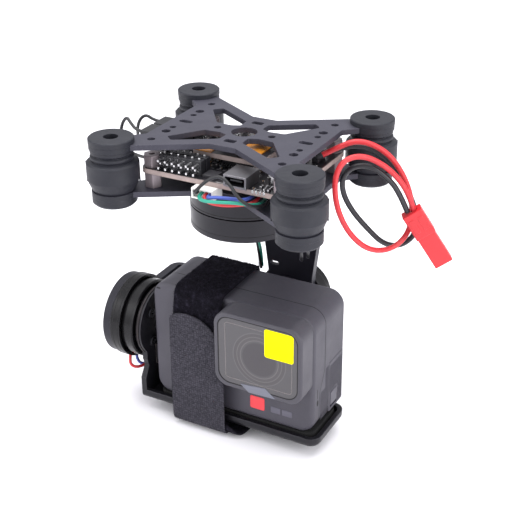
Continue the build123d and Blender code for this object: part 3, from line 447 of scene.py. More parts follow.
# -------- held wires
SENSOR_WIRES = [
    ("black", [(-3.5, -23.6, -12.2), (-3.5, -26.0, -12.0), (-1.6, -26.4, -9.6), (1.8, -25.8, -6.2),
               (5.6, -25.4, -4.6), (9.2, -25.8, -6.6), (12.6, -27.0, -10.0), (16.8, -26.4, -12.4),
               (19.0, -21.6, -13.0), (17.6, -14.4, -13.2), (12.6, -7.6, -13.6), (7.0, -1.6, -14.0),
               (1.8, -0.1, -15.8)]),
    ("green", [(-1.9, -23.6, -12.2), (-1.9, -26.4, -12.4), (0.8, -28.4, -12.6), (6.0, -28.4, -12.0),
               (11.8, -27.0, -11.6), (16.0, -24.4, -12.6), (17.0, -19.6, -13.6), (14.8, -13.4, -14.4),
               (9.8, -7.6, -13.7), (4.6, -3.0, -13.9), (-0.2, -1.4, -16.4)]),
    ("red", [(-0.3, -23.6, -12.2), (-0.3, -26.0, -12.4), (2.0, -26.8, -13.6), (6.8, -26.2, -13.8),
             (11.4, -24.6, -13.4), (14.6, -21.4, -13.4), (14.8, -16.2, -12.6), (11.8, -10.0, -12.4),
             (7.0, -4.4, -12.6), (2.6, 0.4, -13.4), (0.6, 1.2, -16.0)]),
    ("blue", [(1.2, -23.6, -12.2), (1.2, -27.0, -12.2), (4.6, -27.4, -11.0), (9.6, -25.6, -11.2),
              (13.2, -23.2, -12.0), (13.6, -18.0, -11.8), (11.6, -12.4, -12.0), (7.8, -7.2, -13.8),
              (3.4, -3.4, -12.6), (-0.8, 0.2, -13.4), (-1.3, 1.0, -16.0)]),
]
for index, (tone, points) in enumerate(SENSOR_WIRES):
    wire = curve(f"sensor_wire_{tone}", points, 1.1, WIRES[tone], "lower_deck")
    if index == 0:
        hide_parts("sensor_wires")
MOTOR_WIRES = [
    [(-39.5, 1.6, -7.15), (-42.6, 1.6, -7.15), (-45.4, 2.4, -5.2), (-47.6, 3.4, -3.6),
     (-49.6, 3.0, -6.4), (-49.2, 1.2, -11.0), (-45.4, -1.2, -13.8), (-38.6, -2.8, -14.4),
     (-30.6, -3.4, -14.0), (-24.6, -3.0, -13.8), (-22.4, -2.6, -17.2), (-18.3, -2.2, -19.8)],
    [(-39.5, 12.8, -7.15), (-42.8, 12.8, -7.15), (-45.8, 12.2, -5.2), (-47.8, 10.6, -7.4),
     (-47.0, 8.0, -11.4), (-43.0, 5.2, -13.6), (-36.6, 3.4, -13.7), (-29.4, 2.6, -13.6),
     (-24.6, 2.6, -13.8), (-22.4, 2.6, -17.2), (-18.3, 2.4, -19.8)],
]
for index, points in enumerate(MOTOR_WIRES):
    wire = curve(f"motor_wire_{index}", points, 1.1, WIRES["black"], "lower_deck")
    if index == 0:
        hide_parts("motor_wires")
ARM_CABLE = [(0.6, 0.4, -31.4), (0.2, 2.4, -36.2), (-4.0, 8.0, -38.4), (-9.0, 15.0, -39.4),
             (-12.4, 22.6, -42.0), (-13.4, 28.8, -47.6), (-13.2, 33.0, -54.8), (-14.4, 36.6, -62.0),
             (-14.8, 38.2, -69.2)]
for index, tone in enumerate(("green", "white", "black")):
    strand = []
    for k, p in enumerate(ARM_CABLE):
        a = 2.1 * index + 0.9 * k
        strand.append((p[0] + 0.62 * math.cos(a), p[1] + 0.62 * math.sin(a) * 0.6,
                       p[2] + 0.62 * math.sin(a) * 0.6))
    wire = curve(f"arm_wire_{tone}", strand, 1.1, WIRES[tone], "yaw_frame")
    if index == 0:
        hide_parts("arm_cable")
PITCH_WIRES = [
    ("red", [(-45.0, -7.5, -91.7), (-44.6, -9.2, -94.4), (-42.2, -9.0, -95.8), (-39.8, -5.8, -95.6),
             (-38.9, -0.4, -95.2), (-39.8, 5.6, -94.2), (-42.2, 11.8, -91.2), (-43.6, 17.6, -86.4),
             (-46.6, 18.6, -84.8)]),
    ("blue", [(-45.2, -3.4, -92.8), (-44.8, -4.2, -95.6), (-42.8, -3.6, -97.6), (-40.8, -0.2, -97.6),
              (-40.8, 5.4, -96.6), (-42.4, 12.2, -93.6), (-43.4, 20.4, -87.8), (-46.6, 22.6, -84.8)]),
]
for index, (tone, points) in enumerate(PITCH_WIRES):
    wire = curve(f"pitch_wire_{tone}", points, 1.1, WIRES[tone], "roll_frame")
    if index == 0:
        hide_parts("pitch_wires")


# -------- dampers
def damper_piece(name, node):
    """The moulded ball, stretched between the decks, with its parting line."""
    mesh = NODES[node].data.copy()
    mesh.name = name
    mesh.materials.clear()
    obj = bpy.data.objects.new(name, mesh)
    bpy.context.scene.collection.objects.link(obj)
    mesh.materials.append(RUBBER)
    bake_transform(obj)
    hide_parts(node)
    low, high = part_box(node)
    centre = (low + high) / 2
    bm = bmesh.new()
    for side in (-1, 1):
        along = Vector((math.cos(math.radians(28)), math.sin(math.radians(28)), 0)) * side
        for z0, z1, r in ((-13.2, -6.2, 8.42),):
            middle = centre / MM + along * (r - 0.1)
            low_c = Vector((middle.x - 0.16, middle.y - 0.16, z0))
            high_c = Vector((middle.x + 0.16, middle.y + 0.16, z1))
            add_block(bm, low_c, high_c)
    flash = from_bmesh(name + "_flash", bm, RUBBER, None)
    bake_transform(flash)


for fore in ("front", "rear"):
    for hand in ("left", "right"):
        damper_piece(f"ball_{fore}_{hand}", f"damper_{fore}_{hand}")


# -------- hook-and-loop strap
STRAP_LEFT, STRAP_RIGHT = -22.4, -2.9
STEP = 0.4                  # spacing of the band's cross sections, in mm


def rounded_path(corners, closed):
    """Points every STEP along a polyline of (y, z, radius) corners."""
    path = []
    count = len(corners)
    for i, (y, z, r) in enumerate(corners):
        here = Vector((y, z))
        if not closed and i in (0, count - 1):
            path.append(here)
            continue
        before = Vector(corners[i - 1][:2]) - here
        after = Vector(corners[(i + 1) % count][:2]) - here
        start = here + before.normalized() * r
        end = here + after.normalized() * r
        for k in range(9):
            t = k / 8
            path.append((1 - t) ** 2 * start + 2 * t * (1 - t) * here + t * t * end)
    if closed:
        path.append(path[0])
    dense = []
    for a, b in zip(path, path[1:]):
        n = max(1, round((b - a).length / STEP))
        dense += [a + (b - a) * k / n for k in range(n)]
    if not closed:
        dense.append(path[-1])
    return dense


def ribbon(path, left, right, thickness, closed, rough, columns=56, sag=0.0):
    """A band that follows path in YZ; left and right give its edges at each share of the path."""
    bm = bmesh.new()
    rings = []
    total = len(path)
    for i, p in enumerate(path):
        a = path[i - 1] if (closed or i) else p
        b = path[(i + 1) % total] if (closed or i < total - 1) else p
        way = (b - a).normalized()
        out = Vector((-way.y, way.x))
        share = i / (total - 1)
        x0, x1 = left(share), right(share)
        ring = []
        for side in (1, -1):
            for k in range(columns + 1):
                u = k / columns if side > 0 else 1 - k / columns
                x = x0 + (x1 - x0) * u
                edge = min(1.0, min(u, 1 - u) * abs(x1 - x0) / 0.5)
                lift = thickness / 2 * math.sqrt(max(0.0, 1 - (1 - edge) ** 2)) * side
                if side > 0:
                    spot = Vector((x, p.x, p.y))
                    lift += rough * edge * (noise.noise(spot * 0.9) + 0.6 * noise.noise(spot * 2.1))
                    lift += sag * edge * math.sin(math.pi * u) ** 2
                ring.append(bm.verts.new(Vector((x, p.x + out.x * lift, p.y + out.y * lift)) * MM))
        rings.append(ring)
    size = len(rings[0])
    for i in range(total if closed else total - 1):
        a, b = rings[i], rings[(i + 1) % total]
        for k in range(size):
            bm.faces.new((a[k], a[(k + 1) % size], b[(k + 1) % size], b[k]))
    if not closed:
        bm.faces.new(rings[0])
        bm.faces.new(list(reversed(rings[-1])))
    bmesh.ops.recalc_face_normals(bm, faces=bm.faces)
    return bm


def add_tufts(bm, count, reach, width, spread, seed, keep=None):
    """Short fibres or hooks that stand up from the outer side of a ribbon."""
    rng = random.Random(seed)
    faces = [f for f in bm.faces if f.calc_area() > 1e-9 and len(f.verts) == 4]
    centre = Vector((-12.6, 0.9, -80.0)) * MM
    places = []
    for face in faces:
        middle = face.calc_center_median()
        flat = middle - centre
        flat.x = 0
        if face.normal.dot(flat) > 0.15 * flat.length and (keep is None or keep(middle / MM)):
            places.append((middle, face.normal.copy()))
    for _ in range(count):
        middle, normal = places[rng.randrange(len(places))]
        jitter = Vector((rng.uniform(-1, 1), rng.uniform(-1, 1), rng.uniform(-1, 1)))
        root = middle + jitter * 0.2 * MM
        lean = (normal + jitter * spread).normalized()
        side = lean.cross(Vector((rng.uniform(-1, 1), rng.uniform(-1, 1), rng.uniform(-1, 1)))).normalized()
        tall = reach * rng.uniform(0.6, 1.2) * MM
        bend = root + lean * tall * 0.6 + side * tall * 0.25
        tip = root + lean * tall + side * tall * rng.uniform(-0.1, 0.7)
        wide = side.cross(lean).normalized() * width * MM
        a, b = bm.verts.new(root - wide), bm.verts.new(root + wide)
        c, d = bm.verts.new(bend - wide * 0.8), bm.verts.new(bend + wide * 0.8)
        e = bm.verts.new(tip)
        for corner in ((a, b, d, c), (c, d, e)):
            bm.faces.new(corner).material_index = 1


def pile(name, low, middle, high, spacing):
    g = Graph(name)
    tone = g.noise(spacing, 5.0, 0.75)
    colour = g.ramp(tone, "Fac", [(0.32, low), (0.55, middle), (0.75, high)])
    g.wire(colour, "Color", g.shader, "Base Color")
    dull = g.span(tone, "Fac", 0.3, 0.7, 0.98, 0.82)
    g.wire(dull, "Result", g.shader, "Roughness")
    g.set("Specular IOR Level", 0.08)
    fibre = g.noise(2200.0, 3.0, 0.7)
    g.bump(fibre, "Fac", 1.0, 0.0004)
    return g.material


def woven():
    """Hook tape: rows of cells across and along the tab, dull; cell centres painted paler as highlight on the
    hook tips, darker rims as painted shade between the hooks.
    """
    g = Graph("woven_tab")
    split = g.n("ShaderNodeSeparateXYZ")
    g.wire(g.coords, "Object", split, 0)
    along = g.n("ShaderNodeMath", operation="ADD")
    g.wire(split, "Z", along, 0)
    g.wire(split, "Y", along, 1)
    flat = g.n("ShaderNodeCombineXYZ")
    g.wire(split, "X", flat, "X")
    g.wire(along, 0, flat, "Y")
    cells = g.n("ShaderNodeTexVoronoi", feature="F1")
    cells.inputs["Scale"].default_value = 1150.0
    cells.inputs["Randomness"].default_value = 0.45
    g.wire(flat, 0, cells, "Vector")
    # Painted highlight and shade: paler cell centres for light on the hook tips, darker rims for shade
    # between them.
    tone = g.ramp(cells, "Distance",
                  [(0.12, srgb(70, 68, 76)), (0.38, srgb(58, 56, 64)), (0.62, srgb(42, 41, 48))])
    stain = g.noise(110.0, 4.0, 0.6)
    shade = g.ramp(stain, "Fac", [(0.3, (0.9, 0.9, 0.9, 1)), (0.7, (1.1, 1.1, 1.1, 1))])
    product = g.n("ShaderNodeMix", data_type="RGBA", blend_type="MULTIPLY")
    sockets = [s for s in product.inputs if s.enabled]
    sockets[0].default_value = 1.0
    g.tree.links.new(tone.outputs["Color"], sockets[1])
    g.tree.links.new(shade.outputs["Color"], sockets[2])
    g.tree.links.new(g.colour_out(product), g.shader.inputs["Base Color"])
    g.set("Roughness", 0.8)
    g.set("Specular IOR Level", 0.2)
    g.bump(cells, "Distance", 0.5, 0.00035, invert=True)
    return g.material


PILE = pile("loop_pile", srgb(12, 11, 16), srgb(25, 23, 31), srgb(54, 51, 64), 520.0)
FUZZ = pile("loop_fuzz", srgb(20, 18, 26), srgb(38, 35, 46), srgb(66, 62, 76), 900.0)
WOVEN = woven()
# Hooks on the tab get a paler colour than the tape as painted highlight on their tips.
HOOK_TIP_HIGHLIGHT = surface("hook_tips_painted_highlight", srgb(74, 72, 80), 0.5, var=0.3, var_scale=900.0, edge=0.0, spec=0.4)

BAND_CORNERS = [(-13.35, -107.5, 2.2), (-13.35, -66.0, 6.0), (-11.3, -55.4, 3.2), (15.1, -55.4, 2.4),
                (15.1, -99.6, 2.4), (12.9, -103.4, 1.6), (12.9, -106.35, 2.0), (5.0, -106.35, 3.0),
                (-3.0, -107.5, 3.0)]
band_path = rounded_path(BAND_CORNERS, True)
band_mesh = ribbon(band_path, lambda s: STRAP_LEFT + 0.6, lambda s: STRAP_RIGHT, 1.2, True,
                   0.22)
add_tufts(band_mesh, 14000, 0.5, 0.055, 0.9, 5, lambda p: p.z > -104 and not (p.y < -12 and p.z < -72))
band = from_bmesh("strap_band", band_mesh, PILE, "camera_cradle", smooth=True)
band.data.materials.append(FUZZ)
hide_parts("camera_strap")

TAB_TOP = -63.4
TAB_CORNERS = [(-14.5, TAB_TOP, 0), (-14.9, -84.0, 8.0), (-14.95, -109.05, 4.2), (0.6, -109.05, 0)]
tab_path = rounded_path(TAB_CORNERS, False)
TAB_RUN = sum((b - a).length for a, b in zip(tab_path, tab_path[1:]))


def tab_left(share):
    """Rounded shoulder at the top, rounded corner where the tab ends under the tray."""
    down = share * TAB_RUN
    inset = 0.0
    if down < 4.0:
        inset = 6.4 * (1 - math.sqrt(max(0.0, 1 - (1 - down / 4.0) ** 2)))
    if down > TAB_RUN - 5.0:
        inset = 5.0 * (1 - math.sqrt(max(0.0, 1 - ((down - TAB_RUN + 5.0) / 5.0) ** 2)))
    return STRAP_LEFT - 0.1 + min(inset, 6.6)


def tab_right(share):
    """Long curve from the top, clear of the lens block, then a wider foot below it."""
    down = share * TAB_RUN
    edge = STRAP_RIGHT - 0.05
    if down < 10.5:
        edge -= 12.6 * (1 - math.sqrt(max(0.0, 1 - (1 - down / 10.5) ** 2)))
    wide = min(1.0, max(0.0, (down - 21.8) / 3.0))
    edge += 1.7 * wide * wide * (3 - 2 * wide)
    if down > TAB_RUN - 5.0:
        edge -= 5.0 * (1 - math.sqrt(max(0.0, 1 - ((down - TAB_RUN + 5.0) / 5.0) ** 2)))
    return max(edge, tab_left(share) + 0.4)


tab_mesh = ribbon(tab_path, tab_left, tab_right, 0.7, False, 0.05, columns=64, sag=0.15)
add_tufts(tab_mesh, 1300, 0.34, 0.11, 0.5, 9, lambda p: -107.6 < p.z < TAB_TOP - 0.8)
tab = from_bmesh("strap_tab", tab_mesh, WOVEN, "camera_cradle", smooth=True)
tab.data.materials.append(HOOK_TIP_HIGHLIGHT)

UNDER_CORNERS = [(-14.28, -104.6, 0), (-14.28, -108.4, 3.4), (3.4, -108.4, 0)]
under_path = rounded_path(UNDER_CORNERS, False)


def under_right(share):
    return 4.8 - 5.6 * (1 - math.sqrt(max(0.0, 1 - (2 * share - 1) ** 2)))


under_mesh = ribbon(under_path, lambda s: -8.0, under_right, 0.6, False, 0.1,
                    columns=36)
under = from_bmesh("strap_under_layer", under_mesh, PILE, "camera_cradle", smooth=True)

# -------- detail shapes
def plane_point(axis, u, v, w):
    """Point with height w along the axis letter and (u, v) across it."""
    return {"x": Vector((w, u, v)), "y": Vector((u, w, v)), "z": Vector((u, v, w))}[axis]


def rounded_outline(u0, u1, v0, v1, r, steps=6):
    points = []
    for cu, cv, start in ((u1 - r, v1 - r, 0), (u0 + r, v1 - r, 90),
                          (u0 + r, v0 + r, 180), (u1 - r, v0 + r, 270)):
        for k in range(steps + 1):
            a = math.radians(start + 90 * k / steps)
            points.append((cu + r * math.cos(a), cv + r * math.sin(a)))
    return points


def add_prism(bm, outline, axis, w0, w1, soft=0.0):
    """Plate on an outline, its outer face at w1 eased by soft."""
    levels = [(w0, 0), (w1, 0)]
    if soft:
        levels = [(w0, 0.0), (w1 - soft * (1 if w1 > w0 else -1), 0.0), (w1, soft)]
    middle = Vector((sum(p[0] for p in outline), sum(p[1] for p in outline))) / len(outline)
    rings = []
    for w, inset in levels:
        ring = []
        for u, v in outline:
            away = Vector((u, v)) - middle
            shrink = max(0.0, 1 - inset / max(away.length, 1e-6))
            q = middle + away * shrink
            ring.append(bm.verts.new(plane_point(axis, q.x, q.y, w) * MM))
        rings.append(ring)
    n = len(outline)
    for a, b in zip(rings, rings[1:]):
        for k in range(n):
            bm.faces.new((a[k], a[(k + 1) % n], b[(k + 1) % n], b[k]))
    bm.faces.new(rings[0])
    bm.faces.new(list(reversed(rings[-1])))


def add_frame(bm, outer, inner, axis, w0, w1):
    """Flat ring between two outlines that have the same number of points."""
    rows = [[bm.verts.new(plane_point(axis, u, v, w) * MM) for u, v in shape]
            for shape, w in ((outer, w0), (outer, w1), (inner, w1), (inner, w0))]
    n = len(outer)
    for a, b in zip(rows, rows[1:] + rows[:1]):
        for k in range(n):
            bm.faces.new((a[k], a[(k + 1) % n], b[(k + 1) % n], b[k]))


def add_lathe(bm, profile, axis, centre, segments=72, closed=True):
    """Turn a profile of (radius, height) points about the axis through centre."""
    rings = []
    for k in range(segments):
        a = 2 * math.pi * k / segments
        rings.append([bm.verts.new(plane_point(axis, centre[0] + r * math.cos(a),
                                               centre[1] + r * math.sin(a), w)
                                   * MM) for r, w in profile])
    n = len(profile)
    for k in range(segments):
        a, b = rings[k], rings[(k + 1) % segments]
        for i in range(n if closed else n - 1):
            bm.faces.new((a[i], a[(i + 1) % n], b[(i + 1) % n], b[i]))


def add_square_ring(bm, r0, r1, w0, w1, axis, centre):
    add_lathe(bm, [(r0, w0), (r1, w0), (r1, w1), (r0, w1)], axis, centre)


def disc_outline(cu, cv, ru, rv, steps=28):
    return [(cu + ru * math.cos(2 * math.pi * k / steps), cv + rv * math.sin(2 * math.pi * k / steps))
            for k in range(steps)]


# -------- lens
BEZEL = surface("lens_bezel", srgb(70, 64, 66), 0.5, var=0.06, bump=0.1, edge=0.0)
RING_LIGHT = surface("lens_ring", srgb(122, 117, 118), 0.45, var=0.08, bump=0.1, edge=0.2)
RING_DARK = surface("lens_groove", srgb(48, 43, 46), 0.5, var=0.1, bump=0.1, edge=0.0)
YELLOW = surface("sticker_yellow", srgb(250, 241, 0), 0.75, spec=0.12, var=0.03, bump=0.1, edge=0.0)
CORAL = surface("mark_coral", srgb(228, 62, 70), 0.5, var=0.05, bump=0.1, edge=0.1)
PALE_GREY = surface("mark_grey", srgb(104, 106, 118), 0.5, var=0.06, bump=0.15, edge=0.2)
PALE_BLOCK = surface("mark_block", srgb(88, 86, 98), 0.5, var=0.08, bump=0.15, edge=0.0)
# Near-black for seams and motor lines, and painted shade for the mic hole and slits.
DARK_SEAM_AND_HOLE_SHADE = surface("seam_dark_and_hole_shade", srgb(14, 14, 17), 0.8, var=0.2, bump=0.1, edge=0.0)

bm = bmesh.new()
hole = disc_outline(*LENS_AT, 9.9, 9.9, 28)
panel = rounded_outline(0.6, 27.2, -81.4, -59.1, 1.6)
order = sorted(panel, key=lambda p: math.atan2(p[1] - LENS_AT[1], p[0] - LENS_AT[0]) % (2 * math.pi))
add_frame(bm, order, hole, "y", -16.6, -17.1)
from_bmesh("lens_bezel_plate", bm, BEZEL, "camera_cradle")
bm = bmesh.new()
add_frame(bm, rounded_outline(1.7, 26.7, -80.9, -59.4, 1.2),
          rounded_outline(2.0, 26.4, -80.6, -59.7, 0.9), "y", -18.46, -18.53)
for radius in (9.75, 8.35, 7.05):
    add_lathe(bm, [(radius - 0.16, -17.0), (radius, -17.2), (radius + 0.16, -17.0)], "y", LENS_AT)
from_bmesh("lens_trim_rings", bm, RING_LIGHT, "camera_cradle", smooth=True)
bm = bmesh.new()
add_lathe(bm, [(9.9, -16.95), (9.9, -16.5), (6.3, -16.0), (6.3, -16.6),
               (7.0, -16.9), (7.9, -16.9), (8.3, -16.95)],
          "y", LENS_AT)
from_bmesh("lens_grooves", bm, RING_DARK, "camera_cradle", smooth=True)


def front_element():
    g = Graph("front_element")
    place = g.n("ShaderNodeVectorMath", operation="SUBTRACT")
    g.wire(g.coords, "Object", place, 0)
    place.inputs[1].default_value = (LENS_AT[0] * MM, -0.0167, LENS_AT[1] * MM)
    size = g.n("ShaderNodeVectorMath", operation="LENGTH")
    g.wire(place, 0, size, 0)
    # Radial tones of the glass: a dark disc with lighter rings near 0.35 and 0.8 of the radius, painted
    # reflection on the element.
    g.wire(g.ramp(g.span(size, "Value", 0.0, 0.0068, 0.0, 1.0), "Result",
                  [(0.0, srgb(50, 42, 48)), (0.35, srgb(62, 50, 54)), (0.6, srgb(40, 37, 44)),
                   (0.8, srgb(70, 62, 66)),
                   (1.0, srgb(48, 44, 48))]), "Color", g.shader, "Base Color")
    g.wire(g.span(g.noise(90.0), "Fac", 0.3, 0.7, 0.05, 0.12), "Result", g.shader, "Roughness")
    g.set("Coat Weight", 0.5)
    return g.material


bm = bmesh.new()
dome = [(6.4 * math.sin(math.radians(a)), -15.1 - 1.7 * math.cos(math.radians(a))) for a in range(90, -1, -6)]
add_lathe(bm, [(max(r, 0.001), w) for r, w in dome], "y", LENS_AT, closed=False)
from_bmesh("lens_front_element", bm, front_element(), "camera_cradle", smooth=True)

bm = bmesh.new()
add_prism(bm, rounded_outline(16.6, 27.2, -68.9, -58.3, 0.9), "y", -18.5, -18.58)
from_bmesh("lens_sticker", bm, YELLOW, "camera_cradle")
bm = bmesh.new()
add_prism(bm, [(7.4, -82.0), (16.8, -81.2), (20.6, -84.2), (10.6, -84.6)], "y", -18.3, -18.72, 0.12)
from_bmesh("lens_block_tab", bm, PALE_GREY, "camera_cradle")
bm = bmesh.new()
add_prism(bm, rounded_outline(6.6, 12.2, -96.7, -91.6, 0.7), "y", -10.3, -10.42)
from_bmesh("front_mark_square", bm, CORAL, "camera_cradle")
bm = bmesh.new()
for u0, u1 in ((14.6, 18.3), (18.9, 22.8)):
    add_prism(bm, rounded_outline(u0, u1, -96.3, -93.9, 0.2), "y", -10.3, -10.40)
from_bmesh("front_mark_blocks", bm, PALE_BLOCK, "camera_cradle")

# -------- camera seams, ribs, and holes shown as flat dark plates of painted shade
SEAM = [(-200.0, -5.9), (-100.9, -5.9), (-86.2, -5.3), (-79.0, -1.6), (0.0, -1.6)]


def seam_y(z):
    for (z0, y0), (z1, y1) in zip(SEAM, SEAM[1:]):
        if z <= z1:
            return y0 + (y1 - y0) * (z - z0) / (z1 - z0)
    return SEAM[-1][1]


bm = bmesh.new()
loop = []
sides = rounded_outline(-31.65, 30.65, -100.9, -56.3, 5.5, 10)
for (x0, z0), (x1, z1) in zip(sides, sides[1:] + sides[:1]):
    n = max(1, int(math.hypot(x1 - x0, z1 - z0) / 1.5))
    loop += [(x0 + (x1 - x0) * k / n, z0 + (z1 - z0) * k / n) for k in range(n)]
rows = []
for i, (x, z) in enumerate(loop):
    (xa, za), (xb, zb) = loop[i - 1], loop[(i + 1) % len(loop)]
    way = Vector((xb - xa, zb - za)).normalized()
    out = Vector((way.y, -way.x)) * 0.02
    if out.dot(Vector((x + 0.5, z + 78.6))) < 0:
        out = -out
    rows.append([bm.verts.new(Vector((x + out.x, seam_y(z) + dy, z + out.y)) * MM) for dy in (-0.14, 0.14)])
for a, b in zip(rows, rows[1:] + rows[:1]):
    bm.faces.new((a[0], a[1], b[1], b[0]))
add_frame(bm, rounded_outline(-1.0, 28.8, -83.0, -57.5, 4.2),
          rounded_outline(-0.72, 28.52, -82.72, -57.78, 4.0),
          "y", -18.45, -18.61)
# Mic hole and slits: flat near-black plates on the shell, painted shade in place of openings.
add_prism(bm, disc_outline(-6.9, -89.7, 0.62, 1.2), "x", 30.5, 30.67)
add_prism(bm, rounded_outline(-7.3, -6.95, -87.9, -84.2, 0.15), "x", 30.5, 30.665)
add_prism(bm, rounded_outline(-29.9, -28.3, -58.9, -58.35, 0.2), "y", -10.2, -10.375)
from_bmesh("camera_seams", bm, DARK_SEAM_AND_HOLE_SHADE, "camera_cradle")


def add_ribs(bm, y0, y1, z0, z1, pitch, keep_out=None):
    """Fine diagonal ribs clipped to a rectangle on the camera's right side."""
    c = y0 - z1
    while c < y1 - z0:
        low = max(z0, y0 - c)
        high = min(z1, y1 - c)
        steps = max(1, int((high - low) / 0.8)) if high > low else 0
        for k in range(steps):
            za, zb = low + (high - low) * k / steps, low + (high - low) * (k + 1) / steps
            mid = (za + zb) / 2
            if keep_out and keep_out[0] < mid + c < keep_out[1] and keep_out[2] < mid < keep_out[3]:
                continue
            points = [(za + c - 0.11, za), (za + c + 0.11, za), (zb + c + 0.11, zb), (zb + c - 0.11, zb)]
            add_prism(bm, points, "x", 30.6, 30.72)
        c += pitch


bm = bmesh.new()
add_ribs(bm, 2.5, 12.7, -98.4, -80.6, 0.85, (2.9, 8.9, -98.5, -91.1))
from_bmesh("door_ribs", bm, SHELL, "door")
bm = bmesh.new()
add_ribs(bm, -4.6, 1.8, -98.0, -87.0, 0.85)
add_ribs(bm, -0.9, 1.8, -87.0, -79.4, 0.85)
from_bmesh("shell_ribs", bm, SHELL, "camera_cradle")

bm = bmesh.new()
add_frame(bm, rounded_outline(-22.6, 21.6, -94.5, -62.5, 0.6),
          rounded_outline(-21.0, 20.0, -92.2, -65.0, 0.3), "y", 14.16, 14.22)
from_bmesh("screen_border", bm, BARREL, "camera_cradle")

# -------- pitch motor and tray trim
PITCH_AXIS = (-1.5, -77.4)   # in YZ
ROLL_AXIS = (-0.5, -77.4)    # in XZ
WORN_METAL = surface("worn_metal", srgb(54, 50, 52), 0.35, metal=0.8, var=0.25, var_scale=300.0, edge=0.4)
bm = bmesh.new()
add_lathe(bm, [(12.72, -37.2), (12.95, -37.0), (12.95, -36.2), (12.72, -36.0)], "x", PITCH_AXIS)
from_bmesh("tray_disc_band", bm, WORN_METAL, "camera_cradle", smooth=True)
bm = bmesh.new()
for x in (-45.4, -43.5):
    add_square_ring(bm, 15.1, 15.33, x - 0.12, x + 0.12, "x", PITCH_AXIS)
from_bmesh("pitch_base_lines", bm, DARK_SEAM_AND_HOLE_SHADE, "roll_frame")
bm = bmesh.new()
add_square_ring(bm, 17.9, 18.13, -21.9, -22.2, "z", (0, 0))
from_bmesh("yaw_base_line", bm, DARK_SEAM_AND_HOLE_SHADE, "lower_deck")
bm = bmesh.new()
add_square_ring(bm, 17.9, 18.13, -28.6, -28.8, "z", (0, 0))
from_bmesh("yaw_bell_line", bm, DARK_SEAM_AND_HOLE_SHADE, "yaw_frame")
bm = bmesh.new()
for r in (10.4, 7.2):
    profile = [(r - 0.15, 44.4), (r - 0.15, 44.56), (r + 0.15, 44.56), (r + 0.15, 44.4)]
    add_lathe(bm, profile, "y", ROLL_AXIS)
add_lathe(bm, [(0.001, 44.4), (0.001, 44.9), (1.7, 44.9), (2.0, 44.6), (2.0, 44.4)], "y", ROLL_AXIS)
from_bmesh("roll_bell_cap", bm, STEEL, "roll_frame", smooth=True)

# -------- board parts
AMBER = surface("amber_film", srgb(190, 122, 34), 0.3, var=0.12, bump=0.1, edge=0.0, coat=0.5)
CERAMIC = surface("ceramic_tan", srgb(120, 96, 72), 0.5, var=0.2, bump=0.1, edge=0.2)
PCB_EDGE = surface("board_edge", srgb(158, 142, 138), 0.7, var=0.15, var_scale=400.0, bump=0.3, edge=0.0)
SILK = surface("board_silk", srgb(176, 172, 172), 0.6, var=0.1, edge=0.0)
repaint("controller_board", PCB_EDGE, lambda p, n: abs(n.z) < 0.5)
repaint("driver_module", PCB_EDGE, lambda p, n: abs(n.z) < 0.5)
repaint("pin_headers", TIN, lambda p, n: p.y < -19.61)
repaint("motor_plugs", TIN, lambda p, n: -29.45 < p.x < -26.05)
repaint("usb_socket", NYLON_BLACK, lambda p, n: 5.75 < p.x < 12.45 and -8.35 < p.z < -5.55 and p.y > -22.85)
repaint("board_chips", TIN, lambda p, n: min(math.hypot(p.x - x, p.y - y) for x, y in
                                            ((18.5, -15.0), (15.5, 12.5), (-8.0, 15.5))) < 2.0)
DAMPER_AT = (32.75, 26.55)
for plate in ("top_plate", "lower_plate"):
    repaint(plate, RUBBER, lambda p, n: abs(n.z) < 0.5 and
            math.hypot(abs(p.x) - DAMPER_AT[0], abs(p.y) - DAMPER_AT[1]) < 7.6)

BUSY = [(-4.9, 4.9, -7.9, 1.9), (-4.2, 1.0, -20.4, -15.2), (14.1, 19.9, -6.9, -1.1), (7.6, 12.4, 3.6, 10.4),
        (-14.4, -8.6, 5.6, 11.4), (14.1, 19.9, 1.1, 6.4), (-18.9, -13.1, -4.4, 1.4), (-3.4, 3.4, 9.1, 14.4),
        (-20.0, -3.6, -23.0, -13.8), (4.9, 13.3, -23.0, -13.9), (-5.2, 13.2, -13.9, -12.5),
        (16.4, 20.6, -17.1, -12.9), (13.4, 17.6, 10.4, 14.6), (-10.1, -5.9, 13.4, 17.6),
        (20.4, 25.9, -22.0, -15.0),
        (20.4, 25.9, 15.0, 22.0), (-25.9, -20.4, -22.0, -15.0), (-25.9, -20.4, 15.0, 22.0),
        (19.8, 26.0, 4.6, 12.6),
        (-26.0, -22.8, -2.0, 16.0), (-11.6, -9.4, -11.5, -9.3), (9.0, 11.1, -11.5, -9.3),
        (-11.6, -9.4, 1.4, 3.4),
        (9.0, 11.1, 1.4, 3.4)]
rng = random.Random(21)
BOARD_TOP = -8.9
CHIP_SIZES = ((1.6, 0.8, 0.5), (1.0, 0.5, 0.4), (2.2, 1.3, 0.7), (1.0, 0.5, 0.4), (1.8, 1.6, 0.8))
lumps = {"tan": bmesh.new(), "black": bmesh.new(), "tin": bmesh.new(), "silk": bmesh.new()}
